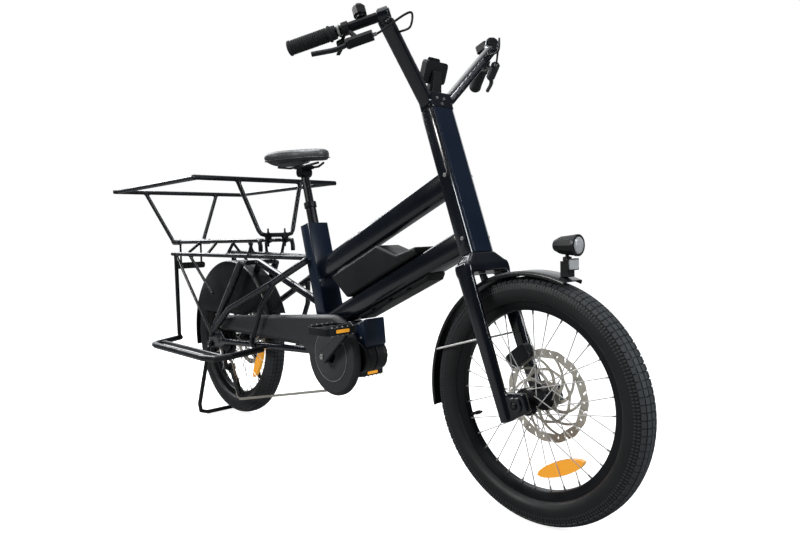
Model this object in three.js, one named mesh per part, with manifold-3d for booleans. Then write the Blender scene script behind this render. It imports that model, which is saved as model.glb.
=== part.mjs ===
// A longtail electric cargo bike: one low frame with a mid motor, two small wheels, a long rear rack
// with a passenger ring and footboards, a two-legged stand and a rider's post that telescopes.
// Sizes are in millimetres. X points forward, Y to the rider's left and Z up. Places on the frame are
// measured from the ground under the rear axle, and the finished group is moved along X so that its
// origin lies under the middle of the bike.
import * as THREE from "three";
import { mergeVertices } from "three/addons/utils/BufferGeometryUtils.js";
import Module from "manifold-3d";

const wasm = await Module();
wasm.setup();

// Fits and facets
const SEAT_GAP = 0.3; // left between two pieces that touch
const OVERRUN = 4; // how far a cutting tool passes the face it opens
const WELD = 3; // how far one welded tube reaches into the next
const MERGE_DISTANCE = 1e-3; // corners nearer than this are one
const TUBE_SIDES = 6;
const STAY_SIDES = 8;
const BAR_SIDES = 10;
const SPINDLE_FACETS = 8;
const BEND_STEPS = 2;
const WHEEL_FACETS = 28;
const SMALL_FACETS = 12;
const HUB_FACETS = 10;
const ARC_FACETS = 8;
const GROOVE_FACETS = 4;
const BEND_LIMIT_SHARE = 0.48; // how much of a straight run one bend may take

// Wheels
const WHEELBASE = 1250;
const TYRE_RADIUS = 260;
const TYRE_WIDTH = 58;
const TYRE_SIDE_SHARES = [0.45, 0.8]; // heights of the widest place and of the shoulder
const TYRE_SHOULDER_SHARE = 0.9; // half widths there and at the edge of the tread
const TYRE_TREAD_SHARE = 0.36;
const REAR_LIFT = 8; // the stand holds the rear tyre this far off the ground
const TYRE_HEIGHT = 53; // from the rim to the tread
const RIM_RADIUS = TYRE_RADIUS - TYRE_HEIGHT;
const RIM_DEPTH = 18;
const RIM_WIDTH = 31;
const RIM_BED_DROP = 5;
const RIM_LIP = 2.5;
const SPOKE_COUNT = 24;
const SPOKE_RADIUS = 1.1;
const SPOKE_FACETS = 3;
const SPOKE_LEAN_ANGLE = 60; // degrees from the rim's place to the flange's
const HUB_RADIUS = 15;
const HUB_FLANGE_RADIUS = 29;
const HUB_FLANGE_OUT = 28; // from the middle of the wheel to the middle of a flange
const HUB_FLANGE_THICKNESS = 4;
const AXLE_RADIUS = 7;
const FRONT_HUB_HALF = 51;
const REAR_HUB_HALF = 70;
const ROTOR_RADIUS = 101.5;
const ROTOR_TRACK = 17;
const ROTOR_THICKNESS = 2;
const ROTOR_OUT = 44;
const ROTOR_ARMS = 5;
const ROTOR_ARM_WIDTH = 9;
const ROTOR_SWEEP_SHARE = 0.45;
const ROTOR_SLOTS = 10;
const ROTOR_SLOT_ANGLE = 35;
const ROTOR_SLOT_LENGTH = 13;
const ROTOR_SLOT_WIDTH = 4;
const ROTOR_BOSS_RADIUS = 24;

// Head tube and the frame's main tubes
const HEAD_TILT = 18.6; // degrees from the vertical
const HEAD_BASE_X = 1100;
const HEAD_BASE_Z = 566;
const HEAD_LENGTH = 352;
const HEAD_WIDTH = 80;
const HEAD_DEPTH = 37;
const HEAD_CORNER = 6;
const HEAD_COVER_THICKNESS = 3;
const HEAD_COVER_EDGE = 5;
const HEAD_BOSS_RADIUS = 7;
const HEAD_BOSS_HEIGHT = 4;
const HEAD_BOSS_FORWARD = 7.4;
const HEAD_BOSS_LEVELS_SHARES = [0.1, 0.53];
const STEERER_RADIUS = 14.3;
const TOP_TUBE_WIDTH = 44;
const TOP_TUBE_DEPTH = 60;
const TOP_TUBE_HEAD_UP = 183; // where its centre line meets the head tube, along the steering axis
const TOP_TUBE_ANGLE = 23.3;
const DOWN_TUBE_WIDTH = 70;
const DOWN_TUBE_DEPTH = 54;
const DOWN_TUBE_HEAD_UP = 34;
const DOWN_TUBE_ANGLE = 23.6;
const TUBE_CORNER = 12;
const SEAT_TUBE_TILT = 14.7;
const SEAT_TUBE_TOP_X = 473;
const SEAT_TUBE_TOP_Z = 651;
const SEAT_TUBE_LENGTH = 312;
const SEAT_TUBE_WIDTH = 72;
const SEAT_TUBE_DEPTH = 44;
const SEAT_TUBE_CORNER = 5;

// Motor, skid plate and battery
const CRANK_X = 625;
const CRANK_Z = 288;
const MOTOR_RADIUS = 60;
const MOTOR_HALF_WIDTH = 44;
const MOTOR_NOSE_LENGTH = 120;
const MOTOR_NOSE_RADIUS = 43;
const MOTOR_NOSE_HALF_WIDTH = 38;
const MOTOR_LUG_AHEAD = 60.8; // its front, from the place beside the crank axle along the down tube
const MOTOR_LUG_LENGTH = 55;
const MOTOR_LUG_TOP = -DOWN_TUBE_DEPTH / 2 - SEAT_GAP;
const MOTOR_LUG_HEIGHT = 34;
const MOTOR_LUG_HALF_WIDTH = 28;
const MOTOR_FINS = 3;
const MOTOR_FIN_SLOT = 4;
const MOTOR_FIN_DEPTH = 5;
const MOTOR_TURNS_SHARES = [0.75, 1.18]; // where the nose's round side starts and ends, in turns
const MOTOR_GROOVE_END_SHARE = 1.15;
const MOTOR_COVER_LENGTH = 74;
const MOTOR_COVER_HEIGHT = 84;
const MOTOR_COVER_REAR_HEIGHT = 60;
const MOTOR_COVER_HALF_WIDTH = 36;
const MOTOR_COVER_CHAMFER = 14;
const SKID_LENGTH = 295;
const SKID_START = 115;
const SKID_DEPTH = 14;
const SKID_WIDTH = 60;
const SKID_CORNER = 5;
const SKID_SLOTS = 3;
const SKID_SLOT_LENGTH = 16;
const SKID_SLOT_WIDTH = 4;
const BATTERY_START = 124;
const BATTERY_LENGTH = 342;
const BATTERY_HEIGHT = 78;
const BATTERY_WIDTH = 84;
const BATTERY_CHAMFER = 4;
const BATTERY_NOSE_SHARES = [0.2, 0.37]; // where the nose begins to rise, and where the top starts
const BATTERY_NOSE_HEIGHT_SHARES = [0.24, 0.36];
const BATTERY_TAIL_SHARE = 0.12; // how much the underside stops short of the top at the rear

// Rear frame
const DROPOUT_THICKNESS = 9;
const DROPOUT_SEAT_SHARE = 0.8; // how far into the plate the chainstay reaches
const DROPOUT_REAR = 76;
const DROPOUT_FRONT = 34;
const DROPOUT_RISE = 44;
const DROPOUT_FALL = 30;
const CHAINSTAY_RADIUS = 11;
const CHAINSTAY_FRONT_OUT = 34;
const CHAINSTAY_FRONT_DROP = 2;
const UPPER_STAY_RADIUS = 11;
const UPPER_STAY_TOP_Z = 548;
const UPPER_STAY_BEND_X = 343;
const UPPER_STAY_BEND_Z = 480;
const UPPER_STAY_BEND_OUT = 62;
const UPPER_STAY_LOW_X = 96;
const UPPER_STAY_LOW_Z = 382;
const STAY_OUT = 88; // the lower stays pass outside the chain cover at this distance
const STAY_BEND = 40;
const CROSS_STRUT_RADIUS = 9;
const CROSS_STRUT_FOOT_X = 232;
const CROSS_STRUT_KNEE_X = 300;
const CROSS_STRUT_KNEE_Z = 400;
const RACK_STRUT_RADIUS = 13;
const RACK_STRUT_TOP_X = 150;
const RACK_STRUT_TOP_Z = 536;
const RACK_STRUT_TOP_OUT = 66;
const RACK_STRUT_FOOT_BACK = 15;
const RACK_STRUT_FOOT_RISE = 36;
const BRACE_RADIUS = 13;
const BRACE_FOOT_Z = 412;
const BRACE_CROSS_RADIUS = 9;

// Rack, passenger ring and footboards
const RACK_TOP_Z = 608;
const RACK_TUBE_RADIUS = 8;
const RACK_HALF_WIDTH = 60;
const RACK_FRONT_X = 266;
const RACK_REAR_X = -360;
const RACK_FRONT_DROP = 36;
const RACK_SLATS = 3;
const RACK_SLAT_START_SHARE = 0.6; // the first slat's place, in steps between slats
const RACK_SLAT_RADIUS = 6;
const RACK_RAIL_OUT = 31;
const RACK_RAIL_REACH = 45;
const RACK_BEND = 24;
const RAIL_FRONT_OUT = 28;
const RAIL_FRONT_Z = 553;
const RAIL_REAR_X = -262;
const RAIL_REAR_OUT = 118;
const RAIL_REAR_Z = 566;
const RAIL_LINK_PLACES_SHARES = [0.13, 0.3, 0.46, 0.62];
const POST_X = -237;
const POST_RADIUS = 8;
const DIAGONAL_RADIUS = 6;
const DIAGONAL_KNEE_X = 12;
const DIAGONAL_KNEE_Z = 430;
const DIAGONAL_TOP_X = -150;
const RING_Z = 800;
const RING_RADIUS = 9;
const RING_HALF_WIDTH = 250;
const RING_STUB = 14;
const RING_REAR_X = -416;
const RING_FRONT_X = 237;
const RING_LEG_RADIUS = 8;
const RING_REAR_LEG_OUT = 146;
const RING_FRONT_LEG_OUT = 117;
const RING_FRONT_LEG_LEAN = 29;
const RING_FRONT_FOOT_OUT = 58;
const RING_FOOT_RISE = 22;
const CLAMP_LENGTH = 14;
const CLAMP_WIDTH = 18;
const CLAMP_HEIGHT = 20;
const CLAMP_RISE = 2;
const CLAMP_BOLT_RADIUS = 4;
const CLAMP_BOLT_RISE = 22;
const CLAMP_BOLT_DROP = 22;
const COLLAR_WALL = 3;
const COLLAR_GRIP = 16;
const BOARD_Z = 258;
const BOARD_TUBE_RADIUS = 11;
const BOARD_INNER_RADIUS = 8;
const BOARD_OUT = 245;
const BOARD_INNER_OUT = 196;
const BOARD_FRONT_X = 285;
const BOARD_REAR_X = -165;
const BOARD_FRONT_ROOT_X = 262;
const BOARD_BEND = 55;
const TAIL_LIGHT_WIDTH = 116;
const TAIL_LIGHT_HEIGHT = 24;
const TAIL_LIGHT_DEPTH = 16;
const TAIL_LIGHT_Z = 517;
const TAIL_LIGHT_HANGER_OUT = 42;
const TAIL_LIGHT_HANGER_WIDTH = 10;
const TAIL_LIGHT_HANGER_THICKNESS = 4;

// Mudguards
const GUARD_CLEARANCE = 10;
const GUARD_THICKNESS = 2.5;
const GUARD_WIDTH = 68;
const GUARD_LIP = 10;
const GUARD_RADIUS = TYRE_RADIUS + GUARD_CLEARANCE + GUARD_THICKNESS;
const GUARD_CROWN_SHARE = 0.95;
const FRONT_GUARD_ANGLES = [69, 191]; // degrees about the axle, from straight ahead over the top
const FRONT_GUARD_STEPS = 11;
const REAR_GUARD_ANGLES = [22, 190];
const REAR_GUARD_STEPS = 15;
const SKIRT_ANGLES = [22, 40];
const SKIRT_FLOOR = 88; // how far above the axle the skirt ends
const GUARD_STAY_RADIUS = 2.5;
const GUARD_STAY_ANGLE = 162;
const GUARD_STAY_BACK = 91;
const GUARD_STAY_UP = 128;
const GUARD_TAB_WIDTH = 26;

// Chain drive
const CHAIN_OUT = 55;
const CHAIN_PITCH = 12.7;
const CHAIN_WIDTH = 7;
const CHAIN_HEIGHT = 7.2;
const CHAIN_WAIST_SHARE = 0.62;
const CHAIN_PLAY = 1;
const RING_TEETH = 44;
const RING_THICKNESS = 3;
const TOOTH_DEPTH = 5;
const SPIDER_HOLES = 5;
const SPROCKET_TEETH = [13, 22, 34];
const DRIVEN_SPROCKET = 1;
const SPROCKET_STEP = 7;
const SPROCKET_THICKNESS = 2;
const PULLEY_RADIUS = 19;
const PULLEY_THICKNESS = 5;
const GUIDE_PULLEY_X = 32;
const GUIDE_PULLEY_Z = 172;
const TENSION_PULLEY_X = 92;
const TENSION_PULLEY_Z = 98;
const CAGE_THICKNESS = 2;
const CAGE_ARM_RADIUS = 9;
const CAGE_PIVOT_RADIUS = 3;
const DERAILLEUR_ARM_RADIUS = 8;
const DERAILLEUR_OUT = 68;
const COVER_FACETS = 10;
const COVER_RADIUS = 112;
const COVER_IN = 51;
const COVER_OUT = 67;
const COVER_WALL = 3;
const COVER_TAIL_X = -22;
const COVER_TAIL_TOP = 352;
const COVER_TAIL_BOTTOM = 301;
const COVER_THROAT = 92; // the lower edge stays level until it is this far from the crank axle
const COVER_TAIL_CORNER = 18;
const COVER_THROAT_ANGLE = 14; // degrees round the disc from the level edge to the arc's start
const COVER_EXIT_SHARE = 0.96; // how much of the lower run the chain's slot opens

// Cranks and pedals
const CRANK_LENGTH = 155;
const CRANK_ANGLE = 37;
const CRANK_OUT = 83;
const CRANK_THICKNESS = 13;
const CRANK_BOSS_RADIUS = 19;
const CRANK_EYE_RADIUS = 14;
const CRANK_WAIST_SHARE = 0.72;
const CRANK_BOSS_ANGLE = 63; // degrees from the arm's line to the end of each round
const CRANK_EYE_ANGLE = 108;
const CRANK_SPINDLE_RADIUS = 12;
const PEDAL_GAP = 5;
const PEDAL_WIDTH = 98;
const PEDAL_LENGTH = 88;
const PEDAL_THICKNESS = 24;
const PEDAL_WALL = 10;
const PEDAL_BARREL_RADIUS = 10;
const PEDAL_SPINDLE_RADIUS = 5;

// Stand
const STAND_RADIUS = 7.5;
const STAND_PIVOT_BACK = 60;
const STAND_PIVOT_DROP = 18; // below the rear axle
const STAND_PIVOT_Z = TYRE_RADIUS + REAR_LIFT - STAND_PIVOT_DROP;
const STAND_FOOT_BACK = 76;
const STAND_FOOT_OUT = 130;
const STAND_BOLT_RADIUS = 6;
const STAND_EYE_RADIUS = 13;
const STAND_EYE_WIDTH = 9;
const STAND_BEND = 30;

// Fork, measured in the steering frame
const CROWN_HEIGHT = 46;
const CROWN_DEPTH = 46;
const CROWN_SHOULDER_SHARE = 0.35;
const LEG_OUT = 63;
const LEG_WIDTH = 22;
const LEG_TOP_DEPTH = 42;
const LEG_FOOT_DEPTH = 30;
const LEG_CORNER = 7;
const LEG_TOP_FORWARD = 5.5;
const LEG_FOOT_FORWARD = 10;
const LEG_LUG_FRONT = 72;
const LEG_LUG_REAR_HALF = 30;
const LEG_LUG_FRONT_HALF = 20;
const LEG_LUG_THICKNESS = 15;
const CALIPER_LENGTH = 62;
const CALIPER_WIDTH = 28;
const CALIPER_DEPTH = 34;
const CALIPER_ANGLE = 128;
const CALIPER_CORNER = 8;
const REAR_CALIPER_ANGLE = 19;

// Stem, bars and controls, measured in the steering frame
const STEM_BLOCK_HEIGHT = 42;
const ARM_ROOT_OUT = 30;
const ARM_ROOT_UP = 20;
const ARM_TOP_FORWARD = 77;
const ARM_TOP_OUT = 180;
const ARM_TOP_RISE = 157;
const ARM_DEPTH = 32;
const ARM_THICKNESS = 25;
const ARM_CORNER = 4;
const BAR_RADIUS = 11;
const BAR_RISE = 167; // above the head tube
const BAR_UP = HEAD_LENGTH + BAR_RISE;
const BAR_INNER_FORWARD = 89;
const BAR_INNER_OUT = 171;
const BAR_END_FORWARD = -100;
const BAR_END_OUT = 312;
const BAR_CLAMP_SHARE = 0.065; // shares of the bar, from its inner end
const BAR_CLAMP_RADIUS = 17;
const BAR_CLAMP_LENGTH = 26;
const GRIP_RADIUS = 15.5;
const GRIP_LENGTH = 112;
const GRIP_END_WALL = 3;
const LEVER_CLAMP_SHARE = 0.43;
const BELL_SHARE = 0.27;
const REMOTE_SHARE = 0.22;
const LEVER_CLAMP_RADIUS = 15;
const LEVER_CLAMP_LENGTH = 14;
const RESERVOIR_RADIUS = 12;
const RESERVOIR_LENGTH = 46;
const LEVER_DROP = 40;
const LEVER_FORWARD = 12;
const LEVER_TIP_DROP = 40;
const LEVER_TIP_FORWARD = 26;
const LEVER_ROOT_SHARE = 0.47;
const LEVER_TIP_SHARE = 0.87;
const LEVER_RADIUS = 5.5;
const LEVER_PIVOT_RADIUS = 8;
const LEVER_BOSS_HALF_WIDTH = 6;
const LEVER_EAR_THICKNESS = 3;
const LEVER_NOTCH_GAP = 0.8;
const LEVER_NECK_SHARE = 0.42;
const LEVER_KNEE_SHARE = 0.35;
const BELL_RADIUS = 15;
const BELL_HEIGHT = 30;
const BELL_BASE_HEIGHT = 6;
const BELL_BASE_SHARE = 0.7;
const BELL_SHOULDER_SHARE = 0.8;
const REMOTE_WIDTH = 26;
const REMOTE_HEIGHT = 18;
const REMOTE_DEPTH = 36;
const SHIFTER_RADIUS = 9;
const SHIFTER_BACK = 24;
const SHIFTER_DROP = 22;
const SHIFTER_LEVER_REACH = 30;
const SHIFTER_LEVER_THICKNESS = 4;
const DISPLAY_WIDTH = 72;
const DISPLAY_HEIGHT = 50;
const DISPLAY_THICKNESS = 16;
const DISPLAY_TILT = 52;
const DISPLAY_RISE = 88;
const DISPLAY_UP = HEAD_LENGTH + DISPLAY_RISE;
const DISPLAY_FORWARD = 28;
const BRACKET_FOOT_SIZE = [30, 44]; // depth and width
const BRACKET_TOP_SIZE = [14, 30];
const DISPLAY_CORNER = 8;
const HOSE_RADIUS = 2.5;
const HOSE_STEPS = 9;
const HOSE_END_SHARE = 0.8; // along the bar's arm
const HOSE_SWING_SHARES = [1.4, 0.6]; // forward and up from there, in depths of the arm
const HOSE_RETURN_SHARES = [1, -0.2];

// Seat
const POST_LOWER_RADIUS = 15.4;
const POST_UPPER_RADIUS = 12.5;
const POST_LOWER_SHOWING = 68;
const POST_LOWER_HIDDEN = 110;
const COLLAR_RADIUS = 18.5;
const COLLAR_HEIGHT = 16;
const POST_UPPER_SHOWING = 94;
const POST_UPPER_HIDDEN = 130;
const SEAT_CLAMP_RADIUS = 15;
const SEAT_CLAMP_WIDTH = 38;
const SADDLE_LENGTH = 262;
const SADDLE_REAR_X = 292;
const SADDLE_WIDTH = 158;
const SADDLE_NOSE_WIDTH = 42;
const SADDLE_TOP_Z = 883;
const SADDLE_NOSE_DROP = 14;
const SADDLE_THICKNESS = 52;
const SADDLE_CROWN = 12;
const SADDLE_STEPS = 13;
const SADDLE_RING = 18;
const SADDLE_END_POWER = 8; // the power that rounds its two ends in plan
const SADDLE_END_SHARE = 0.02;
const SADDLE_NECK_SHARE = 0.4; // where it narrows, and how sharply
const SADDLE_NECK_RATE = 7;
const SADDLE_NOSE_THICK_SHARE = 0.8;
const SADDLE_EDGE_THICK_SHARE = 0.55;
const SADDLE_DRAW_IN_SHARE = 0.28;
const SADDLE_SIDE_POWER = 0.8;
const SADDLE_TOP_POWER = 0.7;
const SADDLE_RAIL_RADIUS = 3.5;
const SADDLE_RAIL_OUT = 22;
const SADDLE_RAIL_SINK = 1.1;
const SADDLE_RAIL_REACH_SHARE = 0.33;
const SADDLE_RAIL_SPLAY_SHARES = [1.6, 0.4]; // at the rear and front ends

// Front light and reflector
const LIGHT_RADIUS = 21;
const LIGHT_LENGTH = 54;
const LIGHT_BACK_SHARE = 0.55; // radii of the back, the waist, the lens and its seat
const LIGHT_WAIST_SHARE = 0.85;
const LIGHT_LENS_SHARE = 0.8;
const LIGHT_WAIST_BACK_SHARE = 0.5;
const LIGHT_RIM_SHARE = 0.7;
const LIGHT_LENS_DEPTH_SHARE = 0.88;
const LIGHT_X = 1334;
const LIGHT_Z = 584;
const LIGHT_HINGE_RADIUS = 5;
const LIGHT_HINGE_HALF_WIDTH = 5;
const LIGHT_EAR_THICKNESS = 3;
const LIGHT_NECK_RADIUS = 4;
const REFLECTOR_WIDTH = 38;
const REFLECTOR_HEIGHT = 23;
const REFLECTOR_RISE = 5;
const REFLECTOR_DEPTH = 9;
const REFLECTOR_FOOT = 20;
const REFLECTOR_SINK = 0.9;

// Finishes
const finish = (color, roughness, metalness) =>
  new THREE.MeshStandardMaterial({ color, roughness, metalness });
const FRAME_BLACK = finish(0x0c0f16, 0.25, 0.3);
const NAVY = finish(0x101c33, 0.35, 0.3);
const TUBE_BLACK = finish(0x14161a, 0.5, 0.2);
const PLASTIC_BLACK = finish(0x17181a, 0.6, 0);
const PLASTIC_GREY = finish(0x4a4c50, 0.6, 0);
const RUBBER = finish(0x1b1b1c, 0.9, 0);
const SILVER = finish(0xb9bcc0, 0.3, 1);
const STEEL_DARK = finish(0x55585c, 0.4, 1);
const SOFT_BLACK = finish(0x1a1b1d, 0.7, 0);
const LENS = finish(0xdfe3e6, 0.1, 0);
const RED_LENS = finish(0x8c1016, 0.2, 0);

// Small helpers for places and outlines
const v = (x, y, z) => new THREE.Vector3(x, y, z);
const p2 = (x, y) => new THREE.Vector2(x, y);
const radians = THREE.MathUtils.degToRad;
const mix = THREE.MathUtils.lerp;
const RIGHT = -1;
const LEFT = 1;
const Y_AXIS = v(0, 1, 0);
const ANY_UP = v(0.2, 0.1, 1); // upward, and along no tube of the bike
// A faceted bore's radius is raised until its flats clear the shaft.
const boreFor = (radius, facets) => (radius + SEAT_GAP) / Math.cos(Math.PI / facets);

function circleOutline(radius, sides) {
  const turn = (2 * Math.PI) / sides;
  const corner = (_, i) => p2(radius * Math.cos(i * turn), radius * Math.sin(i * turn));
  return Array.from({ length: sides }, corner);
}

function roundedOutline(width, height, corner, steps = 2) {
  const r = Math.min(corner, width / 2, height / 2);
  const points = [];
  for (let quarter = 0; quarter < 4; quarter++) {
    const right = quarter === 0 || quarter === 3 ? 1 : -1;
    const upper = quarter < 2 ? 1 : -1;
    for (let i = 0; i <= steps; i++) {
      const turn = (quarter + i / steps) * (Math.PI / 2);
      const middle = p2(right * (width / 2 - r), upper * (height / 2 - r));
      points.push(middle.add(p2(r * Math.cos(turn), r * Math.sin(turn))));
    }
  }
  return points;
}

// Closed surfaces and solids
function toSolid(geometry) {
  const loose = geometry.index ? geometry.toNonIndexed() : geometry;
  const bare = new THREE.BufferGeometry();
  bare.setAttribute("position", loose.getAttribute("position"));
  const merged = mergeVertices(bare, MERGE_DISTANCE);
  const corners = merged.index.array;
  const faces = [];
  for (let i = 0; i < corners.length; i += 3) {
    const [a, b, c] = corners.subarray(i, i + 3);
    if (a !== b && b !== c && c !== a) faces.push([a, b, c]);
  }
  const build = (list) =>
    new wasm.Manifold(
      new wasm.Mesh({
        numProp: 3,
        vertProperties: merged.getAttribute("position").array,
        triVerts: new Uint32Array(list.flat()),
      }),
    );
  const solid = build(faces);
  return solid.volume() > 0 ? solid : build(faces.map(([a, b, c]) => [a, c, b]));
}

function toGeometry(solid) {
  const { numProp, vertProperties, triVerts } = solid.getMesh();
  const positions = new Float32Array((vertProperties.length / numProp) * 3);
  for (let i = 0; i * numProp < vertProperties.length; i++)
    positions.set(vertProperties.subarray(i * numProp, i * numProp + 3), i * 3);
  const geometry = new THREE.BufferGeometry();
  geometry.setAttribute("position", new THREE.BufferAttribute(positions, 3));
  geometry.setIndex(new THREE.BufferAttribute(new Uint32Array(triVerts), 1));
  return geometry;
}

function join(...geometries) {
  return toGeometry(geometries.map(toSolid).reduce((whole, next) => whole.add(next)));
}

function cut(body, ...tools) {
  return toGeometry(tools.map(toSolid).reduce((left, tool) => left.subtract(tool), toSolid(body)));
}

// Skins a row of sections, each with a centre, two directions and an outline of as many points.
// The travel from one section to the next runs along side x up.
function loft(sections) {
  const count = sections[0].outline.length;
  const positions = [];
  for (const { at, side, up, outline } of sections)
    for (const { x, y } of outline)
      positions.push(...at.clone().addScaledVector(side, x).addScaledVector(up, y));
  const faces = [];
  for (let s = 0; s + 1 < sections.length; s++)
    for (let i = 0; i < count; i++) {
      const a = s * count + i;
      const b = s * count + ((i + 1) % count);
      faces.push(a, b, b + count, a, b + count, a + count);
    }
  const last = (sections.length - 1) * count;
  for (const [a, b, c] of THREE.ShapeUtils.triangulateShape(sections[0].outline, [])) faces.push(a, c, b);
  for (const [a, b, c] of THREE.ShapeUtils.triangulateShape(sections.at(-1).outline, []))
    faces.push(last + a, last + b, last + c);
  const geometry = new THREE.BufferGeometry();
  geometry.setAttribute("position", new THREE.Float32BufferAttribute(positions, 3));
  geometry.setIndex(faces);
  return geometry;
}

// The points of a path whose corners are rounded.
function roundedPath(points, bend) {
  const path = [points[0]];
  for (let i = 1; i + 1 < points.length; i++) {
    const back = points[i - 1].clone().sub(points[i]);
    const ahead = points[i + 1].clone().sub(points[i]);
    const half = (Math.PI - back.angleTo(ahead)) / 2;
    const room = BEND_LIMIT_SHARE * Math.min(back.length(), ahead.length());
    const setback = Math.min(bend * Math.tan(half), room);
    const curve = new THREE.QuadraticBezierCurve3(
      points[i].clone().addScaledVector(back.normalize(), setback),
      points[i],
      points[i].clone().addScaledVector(ahead.normalize(), setback),
    );
    path.push(...curve.getPoints(BEND_STEPS));
  }
  return [...path, points.at(-1)];
}

// A tube of one outline along a path, carried along without twisting.
function sweep(path, outline, firstUp = ANY_UP) {
  let up = firstUp.clone();
  return loft(
    path.map((at, i) => {
      const before = path[Math.max(i - 1, 0)];
      const after = path[Math.min(i + 1, path.length - 1)];
      const travel = after.clone().sub(before).normalize();
      up = up.clone().addScaledVector(travel, -up.dot(travel)).normalize();
      return { at, side: up.clone().cross(travel), up, outline };
    }),
  );
}

function tube(points, radius, bend = 0, sides = TUBE_SIDES) {
  const path = points.length > 2 ? roundedPath(points, bend) : points;
  return sweep(path, circleOutline(radius, sides));
}

// A box-section tube between two places on the bike's middle plane. Its ends are cut along the two
// given directions, so that they lie flat on the faces that they meet.
function frameTube(start, end, outline, startCut, endCut) {
  const travel = end.clone().sub(start).normalize();
  const square = v(-travel.z, 0, travel.x);
  const slanted = (along) => (along ? along.clone().divideScalar(along.dot(square)) : square);
  return loft([
    { at: start, side: Y_AXIS, up: slanted(startCut), outline },
    { at: end, side: Y_AXIS, up: slanted(endCut), outline },
  ]);
}

// A plate whose outline is drawn in X and Z, from one distance out along Y to another.
function plate(shape, fromY, toY, facets = SMALL_FACETS) {
  const geometry = new THREE.ExtrudeGeometry(shape, {
    depth: Math.abs(toY - fromY),
    bevelEnabled: false,
    curveSegments: facets,
  });
  return geometry.rotateX(Math.PI / 2).translate(0, Math.max(fromY, toY), 0);
}

// The same with its long edges chamfered.
function housing(points, halfWidth, chamfer) {
  const geometry = new THREE.ExtrudeGeometry(new THREE.Shape(points), {
    depth: 2 * (halfWidth - chamfer),
    bevelThickness: chamfer,
    bevelSize: chamfer,
    bevelOffset: -chamfer,
    bevelSegments: 1,
  });
  return geometry.rotateX(Math.PI / 2).translate(0, halfWidth - chamfer, 0);
}

const block = (x, y, z, at) => new THREE.BoxGeometry(x, y, z).translate(at.x, at.y, at.z);
const revolve = (profile, facets) => new THREE.LatheGeometry(profile.map(([r, y]) => p2(r, y)), facets);

function drum(radius, fromY, toY, facets = SMALL_FACETS) {
  return revolve([[0, fromY], [radius, fromY], [radius, toY], [0, toY]], facets);
}

// A round bar between two places.
const rod = (from, to, radius, sides = TUBE_SIDES) => tube([from, to], radius, 0, sides);

// Frames that several pieces share
const headAxis = v(-Math.sin(radians(HEAD_TILT)), 0, Math.cos(radians(HEAD_TILT)));
const headForward = v(Math.cos(radians(HEAD_TILT)), 0, Math.sin(radians(HEAD_TILT)));
const headBase = v(HEAD_BASE_X, 0, HEAD_BASE_Z);
const onHead = (forward, out, up) =>
  headBase.clone().addScaledVector(headForward, forward).addScaledVector(headAxis, up).add(v(0, out, 0));
const headRear = -HEAD_DEPTH / 2;

const seatAxis = v(-Math.sin(radians(SEAT_TUBE_TILT)), 0, Math.cos(radians(SEAT_TUBE_TILT)));
const seatForward = v(seatAxis.z, 0, -seatAxis.x);
const seatTop = v(SEAT_TUBE_TOP_X, 0, SEAT_TUBE_TOP_Z);
const onSeat = (forward, up) =>
  seatTop.clone().addScaledVector(seatForward, forward).addScaledVector(seatAxis, up);
// A place so far forward of the seat tube's centre line, at a height above the ground.
function seatAtHeight(forward, z) {
  const up = (z - onSeat(forward, 0).z) / seatAxis.z;
  return onSeat(forward, up);
}

const rearAxle = v(0, 0, TYRE_RADIUS + REAR_LIFT);
const frontAxle = v(WHEELBASE, 0, TYRE_RADIUS);
const crankAxle = v(CRANK_X, 0, CRANK_Z);

// The line of a sloping frame tube, from the head tube's rear face to the seat tube's front face.
function slopingLine(headUp, slope) {
  const direction = v(-Math.cos(radians(slope)), 0, -Math.sin(radians(slope)));
  const start = onHead(headRear - SEAT_GAP, 0, headUp);
  const front = onSeat(SEAT_TUBE_DEPTH / 2 + SEAT_GAP, 0);
  const reach = front.clone().sub(start).dot(seatForward) / direction.dot(seatForward);
  return { start, direction, end: start.clone().addScaledVector(direction, reach) };
}
const topLine = slopingLine(TOP_TUBE_HEAD_UP, TOP_TUBE_ANGLE);
const downLine = slopingLine(DOWN_TUBE_HEAD_UP, DOWN_TUBE_ANGLE);
const downNormal = v(downLine.direction.z, 0, -downLine.direction.x);
// A place beside the down tube: so far along it from the head, and so far above its centre line.
const onDownTube = (along, above) =>
  downLine.start.clone().addScaledVector(downLine.direction, along).addScaledVector(downNormal, above);

const bike = new THREE.Group();
function add(name, geometry, material, parent = bike) {
  const mesh = new THREE.Mesh(geometry, material);
  mesh.name = name;
  parent.add(mesh);
}
const bothSides = (make) => [["right", RIGHT], ["left", LEFT]].forEach(([name, s]) => make(name, s));

// Frame
function headTube() {
  const outline = roundedOutline(HEAD_DEPTH, HEAD_WIDTH, HEAD_CORNER);
  const shape = new THREE.Shape(outline);
  shape.holes.push(new THREE.Path(circleOutline(boreFor(STEERER_RADIUS, SMALL_FACETS), SMALL_FACETS)));
  const body = new THREE.ExtrudeGeometry(shape, { depth: HEAD_LENGTH, bevelEnabled: false });
  const bosses = HEAD_BOSS_LEVELS_SHARES.flatMap((share) =>
    [RIGHT, LEFT].map((s) =>
      rod(
        v(HEAD_BOSS_FORWARD, s * (HEAD_WIDTH / 2 - WELD), share * HEAD_LENGTH),
        v(HEAD_BOSS_FORWARD, s * (HEAD_WIDTH / 2 + HEAD_BOSS_HEIGHT), share * HEAD_LENGTH),
        HEAD_BOSS_RADIUS,
      ),
    ),
  );
  return join(body, ...bosses);
}

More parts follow.
